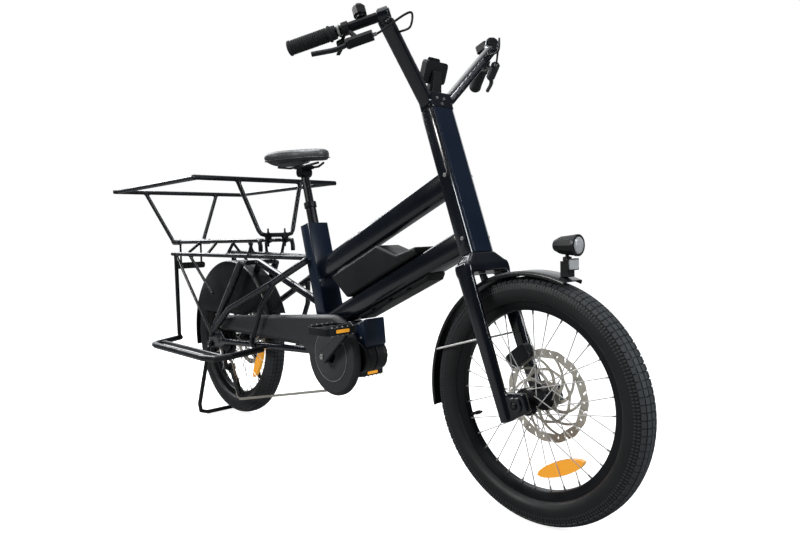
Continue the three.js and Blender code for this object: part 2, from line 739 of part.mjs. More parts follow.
function headCover() {
  const width = HEAD_WIDTH - 2 * HEAD_CORNER;
  const front = HEAD_DEPTH / 2 + SEAT_GAP;
  const shape = new THREE.Shape([
    p2(front, -width / 2),
    p2(front + HEAD_COVER_THICKNESS, HEAD_COVER_EDGE - width / 2),
    p2(front + HEAD_COVER_THICKNESS, width / 2 - HEAD_COVER_EDGE),
    p2(front, width / 2),
  ]);
  return new THREE.ExtrudeGeometry(shape, { depth: HEAD_LENGTH, bevelEnabled: false });
}

function seatTube() {
  const outline = roundedOutline(SEAT_TUBE_WIDTH, SEAT_TUBE_DEPTH, SEAT_TUBE_CORNER);
  const shell = frameTube(onSeat(0, -SEAT_TUBE_LENGTH), seatTop, outline);
  const bore = rod(
    onSeat(0, -POST_LOWER_HIDDEN - 2 * OVERRUN),
    onSeat(0, OVERRUN),
    boreFor(POST_LOWER_RADIUS, SMALL_FACETS),
    SMALL_FACETS,
  );
  return cut(shell, bore);
}

function skidPlate() {
  const top = -DOWN_TUBE_DEPTH / 2 - SEAT_GAP;
  const low = top - SKID_DEPTH;
  const end = SKID_START + SKID_LENGTH;
  const outline = [
    onDownTube(SKID_START, top),
    onDownTube(SKID_START + SKID_DEPTH, low),
    onDownTube(end, low),
    onDownTube(end, top),
  ].map(({ x, z }) => p2(x, z));
  const slots = Array.from({ length: SKID_SLOTS }, (_, i) => {
    const along = SKID_START + (SKID_LENGTH * (i + 1)) / (SKID_SLOTS + 1);
    const slot = [
      onDownTube(along, low + SKID_SLOT_WIDTH),
      onDownTube(along + SKID_SLOT_LENGTH, low + SKID_SLOT_WIDTH),
      onDownTube(along + SKID_SLOT_LENGTH, low + 2 * SKID_SLOT_WIDTH),
      onDownTube(along, low + 2 * SKID_SLOT_WIDTH),
    ].map(({ x, z }) => p2(x, z));
    return plate(new THREE.Shape(slot), -SKID_WIDTH, SKID_WIDTH);
  });
  return cut(housing(outline, SKID_WIDTH / 2, SKID_CORNER), ...slots);
}

function battery() {
  const low = DOWN_TUBE_DEPTH / 2 + SEAT_GAP;
  const [noseShare, topShare] = BATTERY_NOSE_SHARES;
  const [frontShare, bendShare] = BATTERY_NOSE_HEIGHT_SHARES;
  const place = (share, heightShare) =>
    onDownTube(BATTERY_START + BATTERY_LENGTH * share, low + BATTERY_HEIGHT * heightShare);
  const outline = [
    place(0, 0),
    place(0, frontShare),
    place(noseShare, bendShare),
    place(topShare, 1),
    place(1, 1),
    place(1 - BATTERY_TAIL_SHARE, 0),
  ].map(({ x, z }) => p2(x, z));
  return housing(outline, BATTERY_WIDTH / 2, BATTERY_CHAMFER);
}

const motorNose = crankAxle.clone().add(v(MOTOR_NOSE_LENGTH - MOTOR_NOSE_RADIUS, 0, 0));
const atCrank = (geometry) => geometry.translate(crankAxle.x, 0, crankAxle.z);
function motorShell(grow) {
  const [low, high] = MOTOR_TURNS_SHARES.map((share) => 2 * Math.PI * share);
  const out = MOTOR_NOSE_HALF_WIDTH + grow;
  const shape = new THREE.Shape();
  shape.absarc(crankAxle.x, crankAxle.z, MOTOR_RADIUS + grow, high - 2 * Math.PI, low, false);
  shape.absarc(motorNose.x, motorNose.z, MOTOR_NOSE_RADIUS + grow, low, high, false);
  return plate(shape, -out, out, ARC_FACETS);
}

// The motor, with cooling grooves round its nose.
function motorUnit() {
  const deep = MOTOR_NOSE_RADIUS - MOTOR_FIN_DEPTH;
  const clear = MOTOR_NOSE_RADIUS + MOTOR_FIN_DEPTH;
  const low = 2 * Math.PI * MOTOR_TURNS_SHARES[0];
  const high = 2 * Math.PI * MOTOR_GROOVE_END_SHARE;
  const grooves = Array.from({ length: MOTOR_FINS }, (_, i) => {
    const y = ((2 * i + 1) / MOTOR_FINS - 1) * MOTOR_NOSE_HALF_WIDTH;
    const shape = new THREE.Shape();
    shape.absarc(motorNose.x, motorNose.z, clear, low, high, false);
    shape.absarc(motorNose.x, motorNose.z, deep, high, low, true);
    return plate(shape, y - MOTOR_FIN_SLOT / 2, y + MOTOR_FIN_SLOT / 2, GROOVE_FACETS);
  });
  const spindleBore = boreFor(CRANK_SPINDLE_RADIUS, SMALL_FACETS);
  const lugStart = crankAxle.clone().sub(downLine.start).dot(downLine.direction) - MOTOR_LUG_AHEAD;
  const lug = plate(
    new THREE.Shape(
      [
        [lugStart, MOTOR_LUG_TOP],
        [lugStart + MOTOR_LUG_LENGTH, MOTOR_LUG_TOP],
        [lugStart + MOTOR_LUG_LENGTH, MOTOR_LUG_TOP - MOTOR_LUG_HEIGHT],
        [lugStart, MOTOR_LUG_TOP - MOTOR_LUG_HEIGHT],
      ].map(([along, above]) => {
        const { x, z } = onDownTube(along, above);
        return p2(x, z);
      }),
    ),
    -MOTOR_LUG_HALF_WIDTH,
    MOTOR_LUG_HALF_WIDTH,
  );
  return cut(
    join(motorShell(0), lug, atCrank(drum(MOTOR_RADIUS - WELD, -MOTOR_HALF_WIDTH, MOTOR_HALF_WIDTH))),
    atCrank(drum(spindleBore, -MOTOR_HALF_WIDTH - OVERRUN, MOTOR_HALF_WIDTH + OVERRUN)),
    ...grooves,
  );
}

function motorCover() {
  const front = motorNose.x + MOTOR_NOSE_RADIUS;
  const low = motorNose.z + MOTOR_NOSE_RADIUS / 2;
  const rear = front - MOTOR_COVER_LENGTH;
  const outline = [
    p2(rear, low),
    p2(front - MOTOR_COVER_CHAMFER, low),
    p2(front, low + MOTOR_COVER_CHAMFER),
    p2(front - MOTOR_COVER_CHAMFER / 2, low + MOTOR_COVER_HEIGHT),
    p2(rear, low + MOTOR_COVER_REAR_HEIGHT),
  ];
  const shell = housing(outline, MOTOR_COVER_HALF_WIDTH, MOTOR_COVER_CHAMFER / 3);
  const drumRoom = drum(MOTOR_RADIUS + SEAT_GAP, -MOTOR_HALF_WIDTH, MOTOR_HALF_WIDTH, WHEEL_FACETS);
  return cut(shell, motorShell(SEAT_GAP), atCrank(drumRoom));
}

function chainstayLine(s) {
  const out = REAR_HUB_HALF + SEAT_GAP + DROPOUT_THICKNESS * DROPOUT_SEAT_SHARE;
  const behindMotor = v(-MOTOR_RADIUS - SEAT_GAP, s * CHAINSTAY_FRONT_OUT, -CHAINSTAY_FRONT_DROP);
  return {
    start: crankAxle.clone().add(behindMotor),
    end: v(DROPOUT_FRONT - 2 * WELD, s * out, rearAxle.z),
  };
}

// One side of the rear frame: chainstay, upper stay, two struts and the dropout, welded together.
function rearFrame(s) {
  const plateMiddle = s * (REAR_HUB_HALF + SEAT_GAP + DROPOUT_THICKNESS / 2);
  const stayEnd = v(-RACK_STRUT_FOOT_BACK, s * STAY_OUT, rearAxle.z + RACK_STRUT_FOOT_RISE);
  const sideOfSeatTube = s * (SEAT_TUBE_WIDTH / 2 + SEAT_GAP + UPPER_STAY_RADIUS);
  const strutTop = v(RACK_STRUT_TOP_X, s * RACK_STRUT_TOP_OUT, RACK_STRUT_TOP_Z);
  const top = seatAtHeight(0, UPPER_STAY_TOP_Z);
  const chainstay = chainstayLine(s);
  const strutShare = (chainstay.start.x - CROSS_STRUT_FOOT_X) / (chainstay.start.x - chainstay.end.x);
  const strutFoot = chainstay.start.clone().lerp(chainstay.end, strutShare);
  const dropout = new THREE.Shape([
    p2(-DROPOUT_REAR, rearAxle.z - DROPOUT_FALL),
    p2(-DROPOUT_REAR / 2, rearAxle.z - DROPOUT_FALL),
    p2(DROPOUT_FRONT, rearAxle.z - DROPOUT_FALL / 2),
    p2(DROPOUT_FRONT, rearAxle.z + DROPOUT_FALL / 2),
    p2(0, rearAxle.z + DROPOUT_RISE),
    p2(-DROPOUT_REAR / 2, rearAxle.z + DROPOUT_RISE),
    p2(-DROPOUT_REAR, rearAxle.z + DROPOUT_FALL / 2),
  ]);
  const pieces = [
    plate(dropout, plateMiddle - DROPOUT_THICKNESS / 2, plateMiddle + DROPOUT_THICKNESS / 2),
    rod(chainstay.start, chainstay.end, CHAINSTAY_RADIUS, STAY_SIDES),
    tube(
      [
        v(top.x, sideOfSeatTube, top.z),
        v(UPPER_STAY_BEND_X, s * UPPER_STAY_BEND_OUT, UPPER_STAY_BEND_Z),
        v(UPPER_STAY_LOW_X, s * STAY_OUT, UPPER_STAY_LOW_Z),
        stayEnd,
      ],
      UPPER_STAY_RADIUS,
      STAY_BEND,
      STAY_SIDES,
    ),
    tube(
      [
        v(UPPER_STAY_BEND_X, s * UPPER_STAY_BEND_OUT, UPPER_STAY_BEND_Z),
        v(CROSS_STRUT_KNEE_X, s * STAY_OUT, CROSS_STRUT_KNEE_Z),
        v(strutFoot.x, s * STAY_OUT, strutFoot.z),
        v(strutFoot.x, strutFoot.y, strutFoot.z),
      ],
      CROSS_STRUT_RADIUS,
      STAY_BEND / 2,
    ),
    rod(strutTop, stayEnd, RACK_STRUT_RADIUS, STAY_SIDES),
  ];
  const boltOut = REAR_HUB_HALF + SEAT_GAP + DROPOUT_THICKNESS - WELD;
  pieces.push(
    rod(
      v(-STAND_PIVOT_BACK, s * boltOut, STAND_PIVOT_Z),
      v(-STAND_PIVOT_BACK, s * (boltOut + 2 * WELD + STAND_EYE_WIDTH), STAND_PIVOT_Z),
      STAND_BOLT_RADIUS,
      STAY_SIDES,
    ),
  );
  const axleBore = boreFor(AXLE_RADIUS, SMALL_FACETS);
  const bore = drum(axleBore, -TYRE_RADIUS, TYRE_RADIUS).translate(0, 0, rearAxle.z);
  if (s === LEFT) return cut(join(...pieces), bore);
  const reach = REAR_HUB_HALF + SEAT_GAP + DROPOUT_THICKNESS;
  const axle = drum(AXLE_RADIUS, -reach - STAND_EYE_WIDTH / 2, reach + STAND_EYE_WIDTH / 2)
    .translate(0, 0, rearAxle.z);
  return join(...pieces, axle);
}

// The brace in the middle of the rear frame, with the cross tube that holds the rack struts apart.
function rearBrace() {
  const foot = seatAtHeight(-SEAT_TUBE_DEPTH / 2 - SEAT_GAP, BRACE_FOOT_Z);
  const top = v(RACK_STRUT_TOP_X, 0, RACK_STRUT_TOP_Z);
  const out = RACK_STRUT_TOP_OUT - RACK_STRUT_RADIUS - SEAT_GAP;
  const travel = top.clone().sub(foot).normalize();
  const square = v(-travel.z, 0, travel.x);
  const slanted = seatAxis.clone().divideScalar(seatAxis.dot(square));
  const outline = circleOutline(BRACE_RADIUS, STAY_SIDES);
  const main = loft([
    { at: foot, side: Y_AXIS, up: slanted, outline },
    { at: top, side: Y_AXIS, up: square, outline },
  ]);
  return join(main, rod(v(top.x, -out, top.z), v(top.x, out, top.z), BRACE_CROSS_RADIUS));
}

// Rack
function rackLoop(radius) {
  const drop = RACK_TOP_Z - RACK_FRONT_DROP;
  const path = [
    v(RACK_FRONT_X, -RACK_HALF_WIDTH, drop),
    v(RACK_FRONT_X, -RACK_HALF_WIDTH, RACK_TOP_Z),
    v(RACK_REAR_X, -RACK_HALF_WIDTH, RACK_TOP_Z),
    v(RACK_REAR_X, RACK_HALF_WIDTH, RACK_TOP_Z),
    v(RACK_FRONT_X, RACK_HALF_WIDTH, RACK_TOP_Z),
    v(RACK_FRONT_X, RACK_HALF_WIDTH, drop),
  ];
  return tube(path, radius, RACK_BEND);
}

function rackPlatform() {
  const corner = (x, out, z = RACK_TOP_Z) => v(x, out, z);
  const loop = rackLoop(RACK_TUBE_RADIUS);
  const slats = Array.from({ length: RACK_SLATS }, (_, i) => {
    const share = (i + RACK_SLAT_START_SHARE) / (RACK_SLATS + RACK_SLAT_START_SHARE - 1);
    const x = mix(RACK_REAR_X, RACK_FRONT_X - 3 * RACK_TUBE_RADIUS, share);
    return rod(corner(x, -RACK_HALF_WIDTH), corner(x, RACK_HALF_WIDTH), RACK_SLAT_RADIUS);
  });
  const rails = [-RACK_RAIL_OUT, RACK_RAIL_OUT].map((out) =>
    rod(corner(RACK_REAR_X, out), corner(RACK_FRONT_X + RACK_RAIL_REACH, out), RACK_SLAT_RADIUS),
  );
  const hangerTop = RACK_TOP_Z - RACK_TUBE_RADIUS + WELD;
  const hangerFoot = TAIL_LIGHT_Z - TAIL_LIGHT_HEIGHT / 2;
  const hangers = [-TAIL_LIGHT_HANGER_OUT, TAIL_LIGHT_HANGER_OUT].map((out) =>
    block(
      TAIL_LIGHT_HANGER_THICKNESS,
      TAIL_LIGHT_HANGER_WIDTH,
      hangerTop - hangerFoot,
      corner(RACK_REAR_X, out, (hangerTop + hangerFoot) / 2),
    ),
  );
  return join(loop, ...slats, ...rails, ...hangers);
}

// One side of the rack: the lower rail, the rear post and the two diagonals, with links to the platform.
function rackSide(s) {
  const front = seatAtHeight(-SEAT_TUBE_DEPTH / 2 - SEAT_GAP - RACK_TUBE_RADIUS / 2, RAIL_FRONT_Z);
  front.setY(s * RAIL_FRONT_OUT);
  const rear = v(RAIL_REAR_X, s * RAIL_REAR_OUT, RAIL_REAR_Z);
  const along = (share) => rear.clone().lerp(front, share);
  const at = (x) => along((x - rear.x) / (front.x - rear.x));
  const postTop = at(POST_X);
  const postFoot = v(POST_X, postTop.y, BOARD_Z + BOARD_TUBE_RADIUS / 2);
  const footOut = s * (REAR_HUB_HALF + 2 * SEAT_GAP + DROPOUT_THICKNESS + DIAGONAL_RADIUS);
  const rackOut = s * RACK_HALF_WIDTH;
  const links = RAIL_LINK_PLACES_SHARES.map((share) => {
    const foot = along(share);
    const top = v(foot.x + RACK_BEND, rackOut, RACK_TOP_Z);
    return rod(foot, top, RACK_SLAT_RADIUS);
  });
  const kneeRise = DIAGONAL_KNEE_Z - rearAxle.z - RACK_STRUT_FOOT_RISE;
  const strutShare = kneeRise / (RACK_STRUT_TOP_Z - rearAxle.z);
  const strutOut = mix(REAR_HUB_HALF + DROPOUT_THICKNESS, RACK_STRUT_TOP_OUT, strutShare);
  const kneeOut = s * (strutOut + RACK_STRUT_RADIUS + DIAGONAL_RADIUS + 3 * WELD);
  const sideRail = join(
    rod(rear, front, RACK_TUBE_RADIUS),
    rod(postTop, postFoot, POST_RADIUS),
    rod(at(POST_X), v(-DROPOUT_REAR / 2, footOut, rearAxle.z + 2 * DIAGONAL_RADIUS), DIAGONAL_RADIUS),
    rod(at(DIAGONAL_TOP_X), v(DIAGONAL_KNEE_X, kneeOut, DIAGONAL_KNEE_Z), DIAGONAL_RADIUS),
    ...links,
  );
  return cut(sideRail, rackLoop(RACK_TUBE_RADIUS + SEAT_GAP), boardLoop(s, BOARD_TUBE_RADIUS + SEAT_GAP));
}

// The passenger ring's rear half: a cross bar on two legs that splay up from collars on the rack's end.
function ringRear() {
  const footX = RACK_REAR_X - RACK_TUBE_RADIUS - RING_LEG_RADIUS - SEAT_GAP;
  const end = RING_HALF_WIDTH + RING_STUB;
  const collars = [RIGHT, LEFT].map((s) =>
    rod(
      v(footX, s * RACK_HALF_WIDTH, RACK_TOP_Z),
      v(RACK_REAR_X + RACK_BEND + COLLAR_GRIP, s * RACK_HALF_WIDTH, RACK_TOP_Z),
      RACK_TUBE_RADIUS + COLLAR_WALL,
      STAY_SIDES,
    ),
  );
  const legs = [RIGHT, LEFT].map((s) =>
    rod(
      v(footX, s * RACK_HALF_WIDTH, RACK_TOP_Z),
      v(RING_REAR_X, s * RING_REAR_LEG_OUT, RING_Z),
      RING_LEG_RADIUS,
    ),
  );
  const bar = rod(v(RING_REAR_X, -end, RING_Z), v(RING_REAR_X, end, RING_Z), RING_RADIUS);
  return cut(join(bar, ...legs, ...collars), rackLoop(RACK_TUBE_RADIUS + SEAT_GAP));
}

// Its front half: the cross bar, the two side bars and a U-shaped leg clamped to the rack.
function ringFront() {
  const end = RING_HALF_WIDTH + RING_STUB;
  const footZ = RACK_TOP_Z + RACK_TUBE_RADIUS + RING_LEG_RADIUS + SEAT_GAP;
  const footX = RING_FRONT_X + RING_FRONT_LEG_LEAN;
  const leg = tube(
    [
      v(RING_FRONT_X, -RING_FRONT_LEG_OUT, RING_Z),
      v(footX, -RING_FRONT_FOOT_OUT, footZ),
      v(footX, RING_FRONT_FOOT_OUT, footZ),
      v(RING_FRONT_X, RING_FRONT_LEG_OUT, RING_Z),
    ],
    RING_LEG_RADIUS,
    RING_FOOT_RISE,
  );
  const sides = [-RING_HALF_WIDTH, RING_HALF_WIDTH].map((out) =>
    rod(v(RING_FRONT_X, out, RING_Z), v(RING_REAR_X + 2 * RING_RADIUS + SEAT_GAP, out, RING_Z), RING_RADIUS),
  );
  const clamps = [-RACK_RAIL_OUT, RACK_RAIL_OUT].flatMap((out) => {
    const bolt = (low, high) => rod(v(footX, out, low), v(footX, out, high), CLAMP_BOLT_RADIUS);
    return [
      block(CLAMP_LENGTH, CLAMP_WIDTH, CLAMP_HEIGHT, v(footX, out, RACK_TOP_Z + CLAMP_RISE)),
      bolt(footZ, footZ + CLAMP_BOLT_RISE),
      bolt(RACK_TOP_Z - CLAMP_BOLT_DROP, RACK_TOP_Z - CLAMP_RISE - 2 * WELD),
    ];
  });
  const rails = [-RACK_RAIL_OUT, RACK_RAIL_OUT].map((out) => {
    const start = v(RACK_REAR_X, out, RACK_TOP_Z);
    return rod(start, v(RACK_FRONT_X + RACK_BEND, out, RACK_TOP_Z), RACK_SLAT_RADIUS + SEAT_GAP);
  });
  const bar = rod(v(RING_FRONT_X, -end, RING_Z), v(RING_FRONT_X, end, RING_Z), RING_RADIUS);
  return cut(join(bar, leg, ...sides, ...clamps), ...rails);
}

function boardLoop(s, radius) {
  const chainstay = chainstayLine(s);
  const share = (chainstay.start.x - BOARD_FRONT_ROOT_X) / (chainstay.start.x - chainstay.end.x);
  const root = chainstay.start.clone().lerp(chainstay.end, share);
  const path = [
    v(BOARD_FRONT_ROOT_X, s * UPPER_STAY_BEND_OUT, root.z - CHAINSTAY_RADIUS),
    v(BOARD_FRONT_X, s * BOARD_OUT, BOARD_Z),
    v(BOARD_REAR_X, s * BOARD_OUT, BOARD_Z),
    v(POST_X - BOARD_TUBE_RADIUS, s * (RAIL_REAR_OUT - BOARD_TUBE_RADIUS - WELD), BOARD_Z),
  ];
  return tube(path, radius, BOARD_BEND);
}

function footboard(s) {
  const chainstay = chainstayLine(s);
  const inner = tube(
    [
      v(BOARD_FRONT_X - BOARD_TUBE_RADIUS, s * BOARD_INNER_OUT, BOARD_Z),
      v(BOARD_REAR_X - BOARD_TUBE_RADIUS, s * BOARD_INNER_OUT, BOARD_Z),
    ],
    BOARD_INNER_RADIUS,
  );
  const stay = rod(chainstay.start, chainstay.end, CHAINSTAY_RADIUS + SEAT_GAP, STAY_SIDES);
  return cut(join(boardLoop(s, BOARD_TUBE_RADIUS), inner), stay);
}

function tailLight() {
  const outline = roundedOutline(TAIL_LIGHT_WIDTH, TAIL_LIGHT_HEIGHT, TAIL_LIGHT_HEIGHT / 3);
  const body = new THREE.ExtrudeGeometry(new THREE.Shape(outline), {
    depth: TAIL_LIGHT_DEPTH,
    bevelEnabled: false,
  });
  const front = RACK_REAR_X - TAIL_LIGHT_HANGER_THICKNESS / 2 - SEAT_GAP;
  return body
    .rotateX(Math.PI / 2)
    .rotateZ(Math.PI / 2)
    .translate(front - TAIL_LIGHT_DEPTH, 0, TAIL_LIGHT_Z);
}

// A mudguard: a shallow channel bent round the wheel, whose sides reach in as far as depthAt says.
function mudguard(axle, angles, steps, depthAt) {
  const half = GUARD_WIDTH / 2;
  const sections = Array.from({ length: steps + 1 }, (_, i) => {
    const degrees = mix(angles[0], angles[1], i / steps);
    const turn = radians(degrees);
    const depth = depthAt(degrees);
    const inner = half - GUARD_THICKNESS;
    const outline = [
      p2(-half, -depth),
      p2(-inner, -depth),
      p2(-inner, -GUARD_THICKNESS),
      p2(inner, -GUARD_THICKNESS),
      p2(inner, -depth),
      p2(half, -depth),
      p2(half * GUARD_CROWN_SHARE, 0),
      p2(-half * GUARD_CROWN_SHARE, 0),
    ];
    const up = v(Math.cos(turn), 0, Math.sin(turn));
    return { at: axle.clone().addScaledVector(up, GUARD_RADIUS), side: v(0, -1, 0), up, outline };
  });
  return loft(sections);
}

function rearGuard() {
  const depthAt = (degrees) => {
    const share = THREE.MathUtils.smoothstep(degrees, SKIRT_ANGLES[0], SKIRT_ANGLES[1]);
    const full = GUARD_RADIUS - SKIRT_FLOOR / Math.abs(Math.sin(radians(degrees)));
    return Math.max(GUARD_LIP, full * share);
  };
  const toCross = v(RACK_STRUT_TOP_X, 0, RACK_STRUT_TOP_Z).sub(rearAxle);
  const reach = toCross.length() - BRACE_RADIUS - SEAT_GAP;
  toCross.normalize();
  const tab = rod(
    rearAxle.clone().addScaledVector(toCross, GUARD_RADIUS - GUARD_THICKNESS / 2),
    rearAxle.clone().addScaledVector(toCross, reach),
    GUARD_TAB_WIDTH / 2,
  );
  return join(mudguard(rearAxle, REAR_GUARD_ANGLES, REAR_GUARD_STEPS, depthAt), tab);
}

function frontGuard() {
  const guard = mudguard(frontAxle, FRONT_GUARD_ANGLES, FRONT_GUARD_STEPS, () => GUARD_LIP);
  const under = onHead(2 * LEG_TOP_FORWARD, 0, -CROWN_HEIGHT - 2 * SEAT_GAP);
  const fromAxle = under.clone().sub(frontAxle);
  const aside = fromAxle.dot(headForward);
  const drop = fromAxle.dot(headAxis) - Math.sqrt((GUARD_RADIUS - GUARD_THICKNESS / 2) ** 2 - aside ** 2);
  const tab = rod(under.clone().addScaledVector(headAxis, -drop), under, GUARD_TAB_WIDTH / 2);
  const turn = radians(GUARD_STAY_ANGLE);
  const reach = GUARD_RADIUS - GUARD_LIP / 2;
  const rootOut = GUARD_WIDTH / 2 - GUARD_THICKNESS / 2;
  const endOut = LEG_OUT - LEG_WIDTH / 2 - GUARD_STAY_RADIUS - SEAT_GAP;
  const stays = [RIGHT, LEFT].map((s) =>
    rod(
      frontAxle.clone().add(v(reach * Math.cos(turn), s * rootOut, reach * Math.sin(turn))),
      frontAxle.clone().add(v(-GUARD_STAY_BACK, s * endOut, GUARD_STAY_UP)),
      GUARD_STAY_RADIUS,
    ),
  );
  return join(guard, tab, ...stays);
}

// Wheels, drawn round their own axle
function tyre() {
  const half = TYRE_WIDTH / 2;
  const bed = RIM_RADIUS + SEAT_GAP;
  const tall = TYRE_RADIUS - bed;
  const bead = RIM_WIDTH / 2 - RIM_LIP - SEAT_GAP;
  const side = [
    [bed - RIM_BED_DROP + 2 * SEAT_GAP, -bead],
    [bed + SEAT_GAP, -bead],
    [bed + tall * TYRE_SIDE_SHARES[0], -half],
    [bed + tall * TYRE_SIDE_SHARES[1], -half * TYRE_SHOULDER_SHARE],
    [TYRE_RADIUS, -half * TYRE_TREAD_SHARE],
  ];
  const other = side.map(([r, y]) => [r, -y]).reverse();
  return revolve([...side, ...other, side[0]], WHEEL_FACETS);
}

function wheel(hubHalf) {
  const half = RIM_WIDTH / 2;
  const lip = half - RIM_LIP;
  const inner = RIM_RADIUS - RIM_DEPTH;
  const rim = revolve(
    [
      [inner, -half / 2],
      [RIM_RADIUS, -half],
      [RIM_RADIUS, -lip],
      [RIM_RADIUS - RIM_BED_DROP, -lip],
      [RIM_RADIUS - RIM_BED_DROP, lip],
      [RIM_RADIUS, lip],
      [RIM_RADIUS, half],
      [inner, half / 2],
      [inner, -half / 2],
    ],
    WHEEL_FACETS,
  );
  const flangeIn = HUB_FLANGE_OUT - HUB_FLANGE_THICKNESS / 2;
  const flangeOut = HUB_FLANGE_OUT + HUB_FLANGE_THICKNESS / 2;
  const bore = boreFor(AXLE_RADIUS, HUB_FACETS);
  const hub = revolve(
    [
      [bore, -hubHalf],
      [HUB_RADIUS, -hubHalf],
      [HUB_RADIUS, -flangeOut],
      [HUB_FLANGE_RADIUS, -flangeOut],
      [HUB_FLANGE_RADIUS, -flangeIn],
      [HUB_RADIUS, -flangeIn],
      [HUB_RADIUS, flangeIn],
      [HUB_FLANGE_RADIUS, flangeIn],
      [HUB_FLANGE_RADIUS, flangeOut],
      [HUB_RADIUS, flangeOut],
      [HUB_RADIUS, hubHalf],
      [bore, hubHalf],
      [bore, -hubHalf],
    ],
    HUB_FACETS,
  );
  // Spokes leave the flanges in pairs, one leaning forward and one back, and cross three others.
  const spokes = Array.from({ length: SPOKE_COUNT }, (_, i) => {
    const side = i % 2 ? LEFT : RIGHT;
    const lean = Math.floor(i / 2) % 2 ? 1 : -1;
    const rimTurn = (2 * Math.PI * i) / SPOKE_COUNT;
    const hubTurn = rimTurn + lean * radians(SPOKE_LEAN_ANGLE);
    const hubR = HUB_FLANGE_RADIUS - 2 * SPOKE_RADIUS;
    const rimR = inner + RIM_LIP;
    const out = side * (HUB_FLANGE_OUT + 2 * lean * SPOKE_RADIUS);
    return rod(
      v(hubR * Math.cos(hubTurn), out, hubR * Math.sin(hubTurn)),
      v(rimR * Math.cos(rimTurn), side * SPOKE_RADIUS, rimR * Math.sin(rimTurn)),
      SPOKE_RADIUS,
      SPOKE_FACETS,
    );
  });
  return join(rim, hub, ...spokes);
}

// A brake rotor: a slotted track carried on a boss by swept arms.
function rotor() {
  const track = ROTOR_RADIUS - ROTOR_TRACK;
  const inner = ROTOR_BOSS_RADIUS + ROTOR_ARM_WIDTH / 3;
  const middle = ROTOR_RADIUS - ROTOR_TRACK / 2;
  const polar = (radius, turn) => p2(radius * Math.cos(turn), radius * Math.sin(turn));
  const shape = new THREE.Shape(circleOutline(ROTOR_RADIUS, WHEEL_FACETS));
  const step = (2 * Math.PI) / ROTOR_ARMS;
  for (let i = 0; i < ROTOR_ARMS; i++) {
    const outerHalf = step / 2 - ROTOR_ARM_WIDTH / 2 / track;
    const innerHalf = step / 2 - ROTOR_ARM_WIDTH / 2 / inner;
    const shares = [-1, -1 / 3, 1 / 3, 1];
    shape.holes.push(
      new THREE.Path([
        ...shares.map((share) => polar(track, i * step + share * outerHalf)),
        ...[1, -1].map((share) => polar(inner, (i + ROTOR_SWEEP_SHARE) * step + share * innerHalf)),
      ]),
    );
  }
  for (let i = 0; i < ROTOR_SLOTS; i++) {
    const turn = (2 * Math.PI * i) / ROTOR_SLOTS;
    const lean = turn + radians(ROTOR_SLOT_ANGLE);
    const along = polar(ROTOR_SLOT_LENGTH / 2, lean);
    const across = polar(ROTOR_SLOT_WIDTH / 2, lean + Math.PI / 2);
    const at = polar(middle, turn);
    shape.holes.push(
      new THREE.Path([
        at.clone().sub(along).sub(across),
        at.clone().add(along).sub(across),
        at.clone().add(along).add(across),
        at.clone().sub(along).add(across),
      ]),
    );
  }
  shape.holes.push(new THREE.Path(circleOutline(boreFor(HUB_RADIUS, HUB_FACETS), HUB_FACETS)));
  return plate(shape, -ROTOR_THICKNESS / 2, ROTOR_THICKNESS / 2);
}

// Chain drive
const pitchRadius = (teeth) => (CHAIN_PITCH * teeth) / (2 * Math.PI);
function toothedShape(teeth) {
  const tip = pitchRadius(teeth) + TOOTH_DEPTH / 4;
  const root = tip - TOOTH_DEPTH;
  return new THREE.Shape(
    Array.from({ length: 2 * teeth }, (_, i) => {
      const turn = (Math.PI * i) / teeth;
      return p2(Math.cos(turn), Math.sin(turn)).multiplyScalar(i % 2 ? root : tip);
    }),
  );
}

function chainring() {
  const shape = toothedShape(RING_TEETH);
  const middle = (pitchRadius(RING_TEETH) + CRANK_BOSS_RADIUS) / 2;
  const hole = (pitchRadius(RING_TEETH) - CRANK_BOSS_RADIUS) / 4;
  for (let i = 0; i < SPIDER_HOLES; i++) {
    const turn = (2 * Math.PI * i) / SPIDER_HOLES;
    shape.holes.push(
      new THREE.Path().absarc(middle * Math.cos(turn), middle * Math.sin(turn), hole, 0, 2 * Math.PI),
    );
  }
  return plate(shape, -CHAIN_OUT - RING_THICKNESS / 2, -CHAIN_OUT + RING_THICKNESS / 2, GROOVE_FACETS);
}

const sprocketOut = (i) => CHAIN_OUT + (DRIVEN_SPROCKET - i) * SPROCKET_STEP;
function cassette() {
  const half = SPROCKET_THICKNESS / 2;
  const sprockets = SPROCKET_TEETH.map((teeth, i) =>
    plate(toothedShape(teeth), -sprocketOut(i) - half, half - sprocketOut(i)),
  );
  const core = drum(
    pitchRadius(SPROCKET_TEETH[0]) - TOOTH_DEPTH,
    -sprocketOut(0) - half,
    half - sprocketOut(SPROCKET_TEETH.length - 1),
  );
  return cut(join(core, ...sprockets), drum(boreFor(HUB_RADIUS, SMALL_FACETS), -2 * CHAIN_OUT, 0));
}

